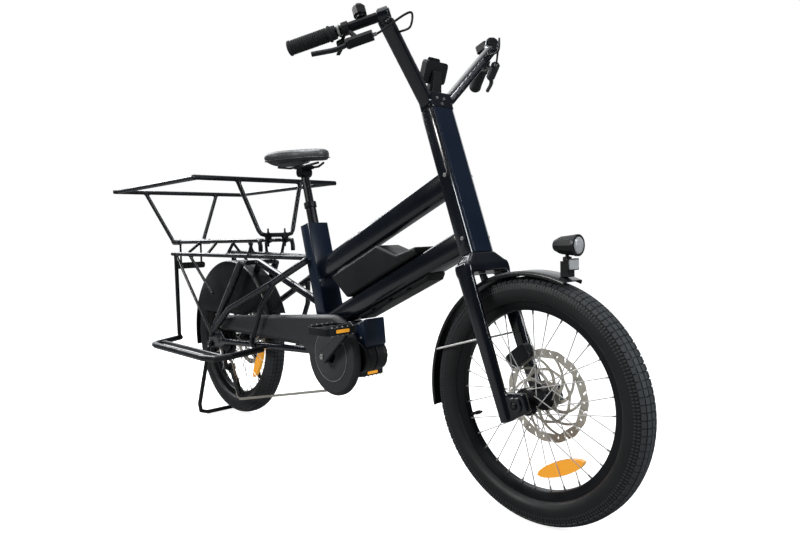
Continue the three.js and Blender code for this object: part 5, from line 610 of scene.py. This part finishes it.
def make_spoke_reflector(end, axle, turn):
    """An amber bar clipped between the spokes, lying along the rim."""
    out, along = radial(turn)
    bow = [(-62 + 124 * k / 16, 15 * (1 - (2 * k / 16 - 1) ** 2) ** 0.6) for k in range(17)]
    outline = [(b, a) for a, b in bow] + [(-b, a) for a, b in reversed(bow[1:-1])]
    shape = Shape().slab(around(axle, 146, turn, -5.5), out, along, (0, 1, 0), outline, 11)
    shape.make(f"{end}_spoke_reflector", AMBER, f"{end}_wheel", "clear_lens", 40)


for end, axle, hub_half, turn in (("front", FRONT_AXLE, 51, -64.5), ("rear", REAR_AXLE, 70, -31)):
    make_tyre(end, axle)
    make_wheel(end, axle, hub_half)
    make_rotor(end, axle)
    make_spoke_reflector(end, axle, math.radians(turn))


# Mudguards
def guard_shape(axle, angles, depth_at, steps):
    """A channel over a wheel, with sides as deep as depth_at says at each degree."""
    rings = []
    for i in range(steps + 1):
        degrees = mix(*angles, i / steps)
        depth = depth_at(degrees)
        outer = mirrored([(0, 27), (-1, 31), (-2.6, 33.2), (-5, 34), (-depth, 34)])
        inner = mirrored([(-3, 29.5), (-5.4, 31.6), (-depth, 31.6)])
        ring = outer + inner[::-1]
        rings.append([around(axle, GUARD_RADIUS + up, math.radians(degrees), out) for up, out in ring])
    return Shape().grid(rings)


def guard_tab(axle, degrees, end):
    """A bracket that stands up from a guard's crown to the tube that holds it."""
    turn, foot = math.radians(degrees), GUARD_RADIUS - 2
    out, along = radial(turn)
    outline = rounded(26, 5, 1.5, 2)
    return Shape().slab(around(axle, foot, turn), (0, 1, 0), along, out, outline, end - foot, 0.8)


def smoothstep(value, low, high):
    share = min(max((value - low) / (high - low), 0), 1)
    return share * share * (3 - 2 * share)


def rear_depth(degrees):
    """The rear guard's skirt reaches down to a level line, and fades out towards both ends."""
    skirt = GUARD_RADIUS - 88 / max(abs(math.sin(math.radians(degrees))), 0.05)
    return max(10.0, smoothstep(degrees, 22, 40) * smoothstep(190 - degrees, 0, 8) * skirt)


rear_guard = guard_shape(REAR_AXLE, (22, 190), rear_depth, 120)
rear_guard.make("rear_guard", GUARD, "frame", "black_plastic", 40, ["rear_mudguard"])
front_guard = guard_shape(FRONT_AXLE, (69, 191), lambda degrees: 10, 72)
front_guard.make("front_guard", GUARD, "steering", "black_plastic", 40, ["front_mudguard"])
guard_tab(REAR_AXLE, 60.8, 297).make("rear_guard_tab", DARK_STEEL, "frame", "black_plastic")
guard_tab(FRONT_AXLE, 117.3, 294).make("front_guard_tab", DARK_STEEL, "steering", "black_plastic")
stays = Shape()
for side, _ in SIDES:
    high = around(FRONT_AXLE, GUARD_RADIUS - 5, GUARD_STAY_TURN, side * 32.75)
    low = at(FRONT_AXLE[0] - 91, side * 49.2, FRONT_AXLE[2] + 128)
    stays.tube([high + Vector((0, -side * 0.002, 0)), high + (low - high) * 0.08, low], 2.4, 12)
stays.make("front_guard_stays", SILVER, "steering", "black_plastic", 50)


# Saddle
CUSHION_SWELL = 0.0035  # metres


def saddle_ring(share, grow, count=40):
    """One section of the saddle, made wider and deeper by grow millimetres."""
    inside = math.sqrt(max(1 - abs(2 * share - 1) ** 8, 0.02))
    wide = (1 - math.tanh(7 * (share - 0.4))) / 2
    width = mix(SADDLE_NOSE_WIDTH, SADDLE_WIDTH, wide) * inside + 2 * grow
    thick = SADDLE_THICKNESS * mix(0.8, 1, wide) * mix(0.55, 1, inside) + 2 * grow
    top = SADDLE_TOP - 14 * share ** 2 - 12 * (1 - inside) + grow
    ring = []
    for c, s in circle(1, count):
        out = width / 2 * squared(c, 0.8) * (1 - 0.28 * max(-s, 0))
        high = top - thick / 2 + thick / 2 * squared(s, 0.7)
        ring.append(at(SADDLE_REAR_X + SADDLE_LENGTH * share, out, high))
    return ring


def make_saddle():
    """A cushion of cloth over its shape, held below and swollen a little by pressure."""
    shape = Shape().grid([saddle_ring(0.004 + 0.992 * i / 40, -3.0) for i in range(41)])
    piece = shape.make("saddle_cushion", SHEENED_LEATHER, "seat", "saddle_cover", 80, ["saddle"])
    scene, view = bpy.context.scene, bpy.context.view_layer
    remesh = piece.modifiers.new("remesh", "REMESH")
    remesh.mode = "VOXEL"
    remesh.voxel_size = 0.005
    view.objects.active = piece
    piece.select_set(True)
    bpy.ops.object.modifier_apply(modifier=remesh.name)
    rest = [v.co.copy() for v in piece.data.vertices]
    pinned = piece.vertex_groups.new(name="pinned")
    held_below = SADDLE_TOP / 1000 - 0.037
    for v in piece.data.vertices:
        hold = 1.0 if v.co.z < held_below - 0.006 else max(0.0, (held_below - v.co.z) / 0.006)
        pinned.add([v.index], min(hold, 1.0), "REPLACE")
    cloth = piece.modifiers.new("cloth", "CLOTH")
    cloth.settings.use_pressure = True
    cloth.settings.uniform_pressure_force = 4.0
    cloth.settings.effector_weights.gravity = 0.0
    cloth.settings.vertex_group_mass = "pinned"
    cloth.point_cache.frame_start = 1
    cloth.point_cache.frame_end = 20
    for number in range(1, 21):
        scene.frame_set(number)
    shown = piece.evaluated_get(view.depsgraph)
    moved = [v.co.copy() for v in shown.data.vertices]
    piece.modifiers.remove(cloth)
    scene.frame_set(1)
    for v, old, new in zip(piece.data.vertices, rest, moved):
        step = new - old
        v.co = old + step * min(1.0, CUSHION_SWELL / max(step.length, 1e-9))
    smooth = piece.modifiers.new("smooth", "SUBSURF")
    smooth.levels = smooth.render_levels = 1
    bpy.ops.object.modifier_apply(modifier=smooth.name)
    piece.select_set(False)
    piece.data.polygons.foreach_set("use_smooth", [True] * len(piece.data.polygons))


make_saddle()
# Piping along the cushion's sides, three of a section's 80 points below the middle
for side, name in SIDES:
    point = 80 - 3 if side > 0 else 40 + 3
    piping = [saddle_ring(0.02 + 0.96 * i / 60, -0.8, 80)[point] for i in range(61)]
    Shape().tube(piping, 1.5, 8).make(f"saddle_piping_{name}", SHEENED_LEATHER, "seat", "saddle_cover", 60)
base_rings = []
for i in range(25):
    ring = saddle_ring(0.03 + 0.94 * i / 24, -7.0)
    low = min(p.z for p in ring)
    base_rings.append([Vector((p.x, p.y, min(p.z, low + 0.012))) for p in ring])
Shape().grid(base_rings).make("saddle_base", PLASTIC, "seat", "saddle_cover", 40)


# Chain
def chain_path():
    """Points along the chain's pitch line in the XZ plane, one for each pin, in millimetres."""
    reach = [CHAIN_PITCH / 2 / math.sin(math.pi / teeth) + CHAIN_LIFT
             for teeth in (RING_TEETH, SPROCKET_TEETH)]
    wheels = [(CRANK[0], CRANK[2], reach[0]), (REAR_AXLE[0], REAR_AXLE[2], reach[1]),
              (*GUIDE_PULLEY, -PULLEY_REACH), (*TENSION_PULLEY, PULLEY_REACH)]
    spans = []
    for i, (x0, z0, r0) in enumerate(wheels):
        x1, z1, r1 = wheels[(i + 1) % len(wheels)]
        dx, dz = x1 - x0, z1 - z0
        c, s = polar(1, math.atan2(dz, dx) - math.acos((r0 - r1) / math.hypot(dx, dz)))
        spans.append(((x0 + r0 * c, z0 + r0 * s), (x1 + r1 * c, z1 + r1 * s)))
    line = []
    for i, (x, z, r) in enumerate(wheels):
        arrive, leave = spans[i - 1][1], spans[i][0]
        a0 = math.atan2(arrive[1] - z, arrive[0] - x)
        a1 = math.atan2(leave[1] - z, leave[0] - x)
        way = -1 if r < 0 else 1
        sweep = (a1 - a0) * way % (2 * math.pi)
        for k in range(25):
            a, b = polar(abs(r), a0 + way * sweep * k / 24)
            line.append((x + a, z + b))
        (sx, sz), (ex, ez) = spans[i]
        line += [(mix(sx, ex, k / 40), mix(sz, ez, k / 40)) for k in range(1, 40)]
    lengths = [0.0]
    for a, b in zip(line, line[1:] + line[:1]):
        lengths.append(lengths[-1] + math.dist(a, b))
    count = round(lengths[-1] / CHAIN_PITCH / 2) * 2
    points, k = [], 0
    for i in range(count):
        want = lengths[-1] * i / count
        while lengths[k + 1] < want:
            k += 1
        share = (want - lengths[k]) / (lengths[k + 1] - lengths[k])
        a, b = line[k], line[(k + 1) % len(line)]
        points.append((mix(a[0], b[0], share), mix(a[1], b[1], share)))
    return points


def make_chain():
    """Waisted plates, further apart on every other link, with a roller and a pin at each joint."""
    pins = chain_path()
    plates, rollers = Shape(), Shape()
    for i, (x, z) in enumerate(pins):
        nx, nz = pins[(i + 1) % len(pins)]
        along = Vector((nx - x, 0, nz - z))
        span = along.length
        along.normalize()
        up = Vector((-along.z, 0, along.x))
        outline = []
        for end, middle in ((1, span), (-1, 0.0)):
            for k in range(7):
                a, b = polar(3.9, math.radians(-90 + 30 * k))
                outline.append((middle + end * a, end * b))
        outline.insert(7, (span / 2, 2.6))
        outline.append((span / 2, -2.6))
        for side, _ in SIDES:
            y = side * (2.6 if i % 2 else 1.6)
            plates.slab(at(x, y - CHAIN_OUT, z), along, up, (0, side, 0), outline, 0.9)
        rollers.turned(at(x, -CHAIN_OUT - 1.6, z), (0, 1, 0), [(0, 3.7), (3.2, 3.7)], 10)
        pin = [(0, 1.5), (0.2, 1.7), (7.6, 1.7), (7.8, 1.5)]
        rollers.turned(at(x, -CHAIN_OUT - 3.9, z), (0, 1, 0), pin, 8)
    plates.make("chain_plates", CHAIN_STEEL, "frame", "drive_steel", 30, ["chain"])
    rollers.make("chain_rollers", BOLT, "frame", "drive_steel", 30)


make_chain()


# Chain cover
COVER_HOLE = 21
COVER_HOLE_STEPS = 40


def cover_outline(inset, steps=72):
    """The cover's edge in x and z, drawn in by inset: a round front and a straight tail."""
    r, rear = COVER_RADIUS - inset, COVER_TAIL_X + inset
    top, low = COVER_TAIL_TOP - inset, COVER_TAIL_LOW + inset
    rise = math.atan2(CRANK[2] + r - top, CRANK[0] - rear)
    throat = math.asin(min((CRANK[2] - low) / r, 1))
    start = math.pi + throat + math.radians(14)
    end = 2.5 * math.pi + rise
    corner = COVER_CORNER - 0.4 * inset
    points = [(rear, low + corner), (rear + corner * 0.3, low + corner * 0.3), (rear + corner, low)]
    points += [(mix(rear + corner, COVER_LOW_END_X, k / 12), low) for k in range(1, 13)]
    for k in range(steps + 1):
        x, z = polar(r, mix(start, end, k / steps))
        points.append((CRANK[0] + x, CRANK[2] + z))
    last = points[-1]
    points += [(mix(last[0], rear + corner, k / 12), mix(last[1], top, k / 12)) for k in range(1, 13)]
    points += [(rear + corner * 0.3, top - corner * 0.3), (rear, top - corner)]
    return points


def make_cover():
    """A shell with rounded edges and a hole for the crank, and on it a disc and a bright ring."""
    levels = [(11.5, 64.0), (3.0, 57.5), (3.0, 51.0),
              (0, 51.0), (0, 57.5), (1.2, 59.5), (8.5, 66.0), (10.5, COVER_FACE)]
    rings = [[at(x, -out, z) for x, z in cover_outline(inset)] for inset, out in levels]
    count = len(rings[0])
    shape = Shape().grid(rings, caps=False)
    hole = [at(CRANK[0] + x, 0, CRANK[2] + z) for x, z in circle(COVER_HOLE, COVER_HOLE_STEPS)]
    starts = []
    for level in (-1, 0):
        flat, first = rings[level], len(shape.points)
        shape.points.extend(Vector((p.x, flat[0].y, p.z)) for p in hole)
        start = level % len(rings) * count
        index = [*range(start, start + count), *range(first, first + COVER_HOLE_STEPS)]
        loops = [[Vector((p.x, p.z, 0)) for p in loop] for loop in (flat, hole)]
        for a, b, c in tessellate_polygon(loops):
            shape.faces.append((index[a], index[b], index[c]))
        starts.append(first)
    front, back = starts
    for k in range(COVER_HOLE_STEPS):
        following = (k + 1) % COVER_HOLE_STEPS
        shape.faces.append((front + k, front + following, back + following, back + k))
    shape.make("chain_cover_shell", GREY, "frame", "grey_plastic", 25, ["chain_cover"])
    face = -COVER_FACE
    disc = [(22, face), (69, face), (69.0, face - 0.5), (67.5, face - 1), (24, face - 1), (22, face - 0.6)]
    Shape().lathe(CRANK, disc, 96).make("cover_disc", DISC_GREY, "frame", "grey_plastic", 30)
    ring = [(70.4, face), (71.6, face), (71.6, face - 0.9), (70.4, face - 0.9)]
    Shape().lathe(CRANK, ring, 96).make("cover_ring", BOLT, "frame", "grey_plastic", 30)


make_cover()


# Crank bolts
bolt_face = Shape()
for side, _ in SIDES:
    hub = at(CRANK[0], side * 95.5, CRANK[2])
    bolt_face.turned(hub, (0, side, 0), [(0, 7.6), (2.6, 7.6), (3.4, 6.8), (3.4, 4.4), (1.2, 4.0)], 6)
bolt_face.make("crank_bolts", BOLT, "cranks", "frame_gloss", 30)


# Pedals
def make_pedal(hand, centre, side):
    """A cage with a barrel through it, cross bars, pins and a reflector at each edge."""
    body = f"{hand}_pedal"

    def here(x, y, z):
        return at(centre[0] + x, centre[1] + side * y, centre[2] + z)

    def loop(width, length, corner, z):
        return [here(a, b, z) for a, b in rounded(length, width, corner, 4)]

    cage = Shape()
    outer, inner = (98, 88, 14), (92, 82, 11)
    cage.grid([loop(*outer, -9), loop(*outer, 9), loop(*inner, 9), loop(*inner, -9)], loop=True)
    cage.turned(here(0, -46, 0), (0, side, 0), [(0, 8), (2, 9.5), (88, 9.5), (92, 7.5)], 20)
    for y in (-24, 0, 24):
        for end in (-1, 1):
            cage.slab(here(end * 25, y, -5), (1, 0, 0), (0, 1, 0), (0, 0, 1), rounded(34, 6, 1.5, 2), 10)
    cage.make(f"{body}_cage", PLASTIC, body, "black_plastic", 35, [f"pedal_{hand}"])
    pins = Shape()
    for face in (-1, 1):
        for end in (-1, 1):
            for k in range(5):
                place = here(end * 42.4, -32 + 16 * k, face * 8.6)
                pins.turned(place, (0, 0, face), [(0, 1.7), (2.6, 1.7), (3.1, 1.1)], 8)
    pins.make(f"{body}_pins", BOLT, body, "black_plastic", 30)
    for end, edge in ((-1, "back"), (1, "front")):
        lens = Shape().slab(here(end * 43.4, 0, 0), (0, 1, 0), (0, 0, 1), (end, 0, 0),
                            rounded(42, 9, 3, 3), 1.4, 0.95)
        lens.make(f"{body}_lens_{edge}", AMBER, body, "clear_lens", 30)
    spindle = [(0, 4.9), (2, 6.8), (9, 6.8), (10, 4.8), (20, 4.8)]
    axle = Shape().turned(here(0, -65, 0), (0, side, 0), spindle, 16)
    axle.make(f"{body}_axle", BOLT, body, "black_plastic", 30)


for side, name in SIDES:
    x, z = polar(-side * CRANK_LENGTH, CRANK_TURN)
    make_pedal(name, (CRANK[0] + x, side * PEDAL_OUT, CRANK[2] + z), side)


# Grips and clamps on the bars
def on_bar(side, share):
    """A place on a bar's line in the steering frame, 0 at its inner end and 1 at its outer one."""
    forward, out = (mix(a, b, share) for a, b in zip(BAR_INNER, BAR_END))
    return Vector((forward, side * out, BAR_UP))


for side, name in SIDES:
    end = on_head(*on_bar(side, 1))
    inward = on_head(*on_bar(side, 0)) - end
    profile = [(0, 12.5), (1.2, 15.4), (3, 16.8), (6.5, 16.8), (8, 15.2)]
    for k in range(17):
        start = 10 + 4.8 * k
        profile += [(start, 14.9), (start + 0.7, 15.8), (start + 3.5, 15.8), (start + 4.2, 14.9)]
    profile += [(94, 15.0), (95.5, 17.6), (99.5, 17.6), (101, 15.4), (111.5, 14.6), (111.8, 11.4)]
    sleeve = Shape().turned(end, inward, profile, 36)
    sleeve.make(f"grip_{name}_sleeve", GRIP, "steering", "grip_rubber", 35, [f"grip_{name}"])
    ring = [(0, 11.2), (0.3, 13.6), (4.7, 13.6), (5, 11.2)]
    band = Shape().turned(on_head(*on_bar(side, 0.505)), inward, ring, 30)
    band.make(f"bar_ring_{name}", BOLT, "steering", "bar_black", 30)


# Lights, reflectors and the display's glass
def moulded(name, centre, across, along, normal, size, corner, thick, mat, body, slot):
    shape = Shape().slab(centre, across, along, normal, rounded(*size, corner, 4), thick, 0.93)
    shape.make(name, mat, body, slot, 30)


def on_display(a, b, up):
    """A place on the display's tilted face: a and b lie in it, and up runs out of it."""
    c, s = polar(1, DISPLAY_TILT)
    return on_head(DISPLAY_FORWARD + a * c - up * s, b, DISPLAY_UP + a * s + up * c)


lens = [(0, 17), (4.6, 17), (6.8, 14.5), (8.4, 9), (9, 1)]
shape = Shape().turned(at(1356, 0, 584), (1, 0, 0), lens, 40)
shape.make("front_light_lens", CLEAR, "front_light", "clear_lens", 40)
rim = [(0, 20.4), (0.5, 21.8), (6.2, 21.8), (7.6, 20.6), (7.6, 18.6), (4.4, 17.4)]
shape = Shape().turned(at(1354, 0, 584), (1, 0, 0), rim, 40)
shape.make("front_light_rim", DARK_STEEL, "front_light", "black_plastic", 30)
moulded("front_reflector_lens", at(1348.4, 0, 546.2), (0, 1, 0), (0, 0, 1), (1, 0, 0), (35, 20), 4, 1.8,
        CLEAR, "steering", "clear_lens")
moulded("tail_light_lens", at(-378.0, 0, 517), (0, 1, 0), (0, 0, 1), (-1, 0, 0), (104, 17), 6, 3.0,
        RED, "frame", "red_lens")
across, along, normal = ((on_display(*axis) - on_display(0, 0, 0)).normalized()
                         for axis in ((0, 1, 0), (1, 0, 0), (0, 0, 1)))
moulded("display_screen", on_display(2, 0, 15.6), across, along, normal, (42, 60), 6, 1.6,
        SCREEN, "steering", "display_gloss")


# Screws, with a recess in each head
def screw(shape, place, direction, radius, height):
    shape.turned(place, direction, [(-0.5, radius), (height * 0.6, radius), (height, radius * 0.85),
                                    (height, radius * 0.5), (height * 0.35, radius * 0.45)], 12)


stem_screws = Shape()
ahead = on_head(1, 0, 0) - on_head(0, 0, 0)
for out, up in ((-15, 376), (8, 376), (-3, 362)):
    screw(stem_screws, on_head(21.8, out, up), ahead, 3.4, 3)
stem_screws.make("stem_screws", BOLT, "steering", "frame_gloss", 30)
frame_screws = Shape()
for side, _ in SIDES:
    for up in (35.2, 186.6):
        screw(frame_screws, on_head(7.4, side * HEAD_SIDE, up), (0, side, 0), 4.4, 2.6)
frame_screws.make("frame_screws", BOLT, "frame", "frame_gloss", 30)
cover_screws = Shape()
for x, z in ((716, 380), (722, 342)):
    screw(cover_screws, at(x, -36, z), (0, -1, 0), 3.2, 1.8)
cover_screws.make("motor_cover_screws", BOLT, "frame", "navy_satin", 30)


# Brake hoses
def smooth_line(points, steps=10):
    """A smooth line through the points, paced by the square root of each step's length."""
    padded = [points[0] * 2 - points[1], *points, points[-1] * 2 - points[-2]]
    line = []
    for a, b, c, d in zip(padded, padded[1:], padded[2:], padded[3:]):
        t0 = 0.0
        t1 = t0 + math.sqrt((b - a).length)
        t2 = t1 + math.sqrt((c - b).length)
        t3 = t2 + math.sqrt((d - c).length)
        for k in range(steps):
            t = mix(t1, t2, k / steps)
            ab = (a * (t1 - t) + b * (t - t0)) / (t1 - t0)
            bc = (b * (t2 - t) + c * (t - t1)) / (t2 - t1)
            cd = (c * (t3 - t) + d * (t - t2)) / (t3 - t2)
            abc = (ab * (t2 - t) + bc * (t - t0)) / (t2 - t0)
            bcd = (bc * (t3 - t) + cd * (t - t1)) / (t3 - t1)
            line.append((abc * (t2 - t) + bcd * (t - t1)) / (t2 - t1))
    return [*line, points[-1]]


for side, name in SIDES:
    along = (on_bar(side, 1) - on_bar(side, 0)).normalized()
    start = on_bar(side, 0.47) + Vector((12, 0, -40)) - along * 54.6
    root = Vector((80.4, side * 150, 482.2))
    swing, back = Vector((44.8, -side * 2.5, 19.2)), Vector((32, -side * 2.5, -6.4))
    route = [start, start - along * 10, root + swing, root + back, root]
    hose = Shape().tube([on_head(*p) for p in smooth_line(route)], 2.5, 14)
    hose.make(f"brake_hose_{name}_smooth", HOSE, "steering", "grip_rubber", 60, [f"brake_hose_{name}"])
    leaving = on_head(*(start - along)) - on_head(*start)
    nut = Shape().turned(on_head(*start), leaving, [(0, 4.2), (7, 4.2), (9, 3.2)], 6)
    nut.make(f"hose_nut_{name}", BOLT, "steering", "grip_rubber", 30)


# Caps and nuts on the front axle
caps, nuts = Shape(), Shape()
for side, _ in SIDES:
    face = at(FRONT_AXLE[0], side * 66.8, FRONT_AXLE[2])
    caps.turned(face, (0, side, 0), [(0, 16.5), (3.2, 16.5), (4.6, 15), (4.6, 9), (2.4, 8)], 32)
    nuts.turned(face, (0, side, 0), [(1.5, 7.5), (5.6, 7.5), (6.4, 6.6), (6.4, 3.4), (3.4, 3.0)], 6)
caps.make("front_axle_caps", GLOSS_BLACK, "steering", "frame_gloss", 30)
nuts.make("front_axle_nuts", DARK_STEEL, "steering", "frame_gloss", 30)


# Pieces made from copies of the CAD meshes
def placed_copy(node):
    source = nodes[node]
    mesh = source.data.copy()
    mesh.transform(source.matrix_world)
    return add_object(f"{node}_copy", mesh)


def stand_in(node, copy, name, body, sharp):
    """Applies a copy's modifiers and puts the result in place of the node."""
    shown = copy.evaluated_get(bpy.context.evaluated_depsgraph_get())
    mesh = bpy.data.meshes.new_from_object(shown)
    bpy.data.objects.remove(copy)
    finish_piece(name, mesh, nodes[node].data.materials[0], body, sharp, [node])


def edged(node, width):
    """A straight tube or a cover with its long edges bevelled."""
    copy = placed_copy(node)
    flat = bmesh.new()
    flat.from_mesh(copy.data)
    bmesh.ops.remove_doubles(flat, verts=flat.verts, dist=1e-5)
    bmesh.ops.dissolve_limit(flat, angle_limit=math.radians(2), verts=flat.verts, edges=flat.edges)
    flat.to_mesh(copy.data)
    flat.free()
    bevel = copy.modifiers.new("bevel", "BEVEL")
    bevel.width = width / 1000
    bevel.segments = 3
    bevel.limit_method = "ANGLE"
    bevel.angle_limit = math.radians(28)
    stand_in(node, copy, f"{node}_edged", "frame", 40.0)


def softened(node, body, voxel, rounds):
    """A casting, a housing, a welded frame or a rack with its edges and joints rounded over."""
    copy = placed_copy(node)
    remesh = copy.modifiers.new("remesh", "REMESH")
    remesh.mode = "VOXEL"
    remesh.voxel_size = voxel / 1000
    smooth = copy.modifiers.new("smooth", "SMOOTH")
    smooth.factor = 0.5
    smooth.iterations = rounds
    stand_in(node, copy, f"{node}_rounded", body, 180.0)


for node, slot, width in (("head_tube", "frame_gloss", 2.5), ("top_tube", "frame_gloss", 3.0),
                          ("down_tube", "frame_gloss", 3.0), ("seat_tube", "navy_satin", 3.0),
                          ("motor_cover", "navy_satin", 3.0), ("skid_plate", "black_plastic", 2.0)):
    edged(node, width)
for node, body, slot, voxel, rounds in (
    ("fork", "steering", "frame_gloss", 2.5, 10),
    ("stand", "stand", "rack_black", 2.0, 4),
    ("stem", "steering", "frame_gloss", 2.5, 6),
    ("crankset", "cranks", "frame_gloss", 2.0, 5),
    ("rear_frame_right", "frame", "frame_gloss", 2.5, 5),
    ("rear_frame_left", "frame", "frame_gloss", 2.5, 5),
    ("rear_brace", "frame", "frame_gloss", 2.5, 4),
    ("battery", "frame", "black_plastic", 3.0, 6),
    ("motor_unit", "frame", "black_plastic", 2.0, 3),
    ("front_caliper", "steering", "dark_alloy", 1.5, 4),
    ("rear_caliper", "frame", "dark_alloy", 1.5, 4),
    ("rack_side_right", "frame", "rack_black", 2.5, 4),
    ("rack_side_left", "frame", "rack_black", 2.5, 4),
    ("rack_platform", "frame", "rack_black", 2.5, 4),
    ("ring_rear", "frame", "rack_black", 2.5, 4),
    ("ring_front", "frame", "rack_black", 2.5, 4),
    ("footboard_right", "frame", "rack_black", 2.5, 4),
    ("footboard_left", "frame", "rack_black", 2.5, 4),
):
    softened(node, body, voxel, rounds)


# Floor: white to the camera, dim to reflections
FLOOR_HALF = 60  # metres
FLOOR_SUNK = 0.0005
FLOOR = surface("floor_white", (0.80, 0.80, 0.80), (0.84, 0.84, 0.84), (0.75, 0.85),
                grain=40, depth=0.0, patch=0.4)
tree = FLOOR.node_tree
lift = add_node(tree, "Emission", {"Color": (1, 1, 1, 1), "Strength": 0.84})
both = add_node(tree, "AddShader")
tree.links.new(tree.nodes["Principled BSDF"].outputs[0], both.inputs[0])
tree.links.new(lift.outputs[0], both.inputs[1])
dim = add_node(tree, "BsdfDiffuse", {"Color": (0.22, 0.22, 0.22, 1)})
tree.links.new(by_ray(tree, both, dim), tree.nodes["Material Output"].inputs["Surface"])
mesh = bpy.data.meshes.new("floor")
corners = [(FLOOR_HALF * x, FLOOR_HALF * y, -FLOOR_SUNK) for x, y in ((-1, -1), (1, -1), (1, 1), (-1, 1))]
mesh.from_pydata(corners, [], [(0, 1, 2, 3)])
mesh.materials.append(FLOOR)
floor = add_object("floor", mesh)
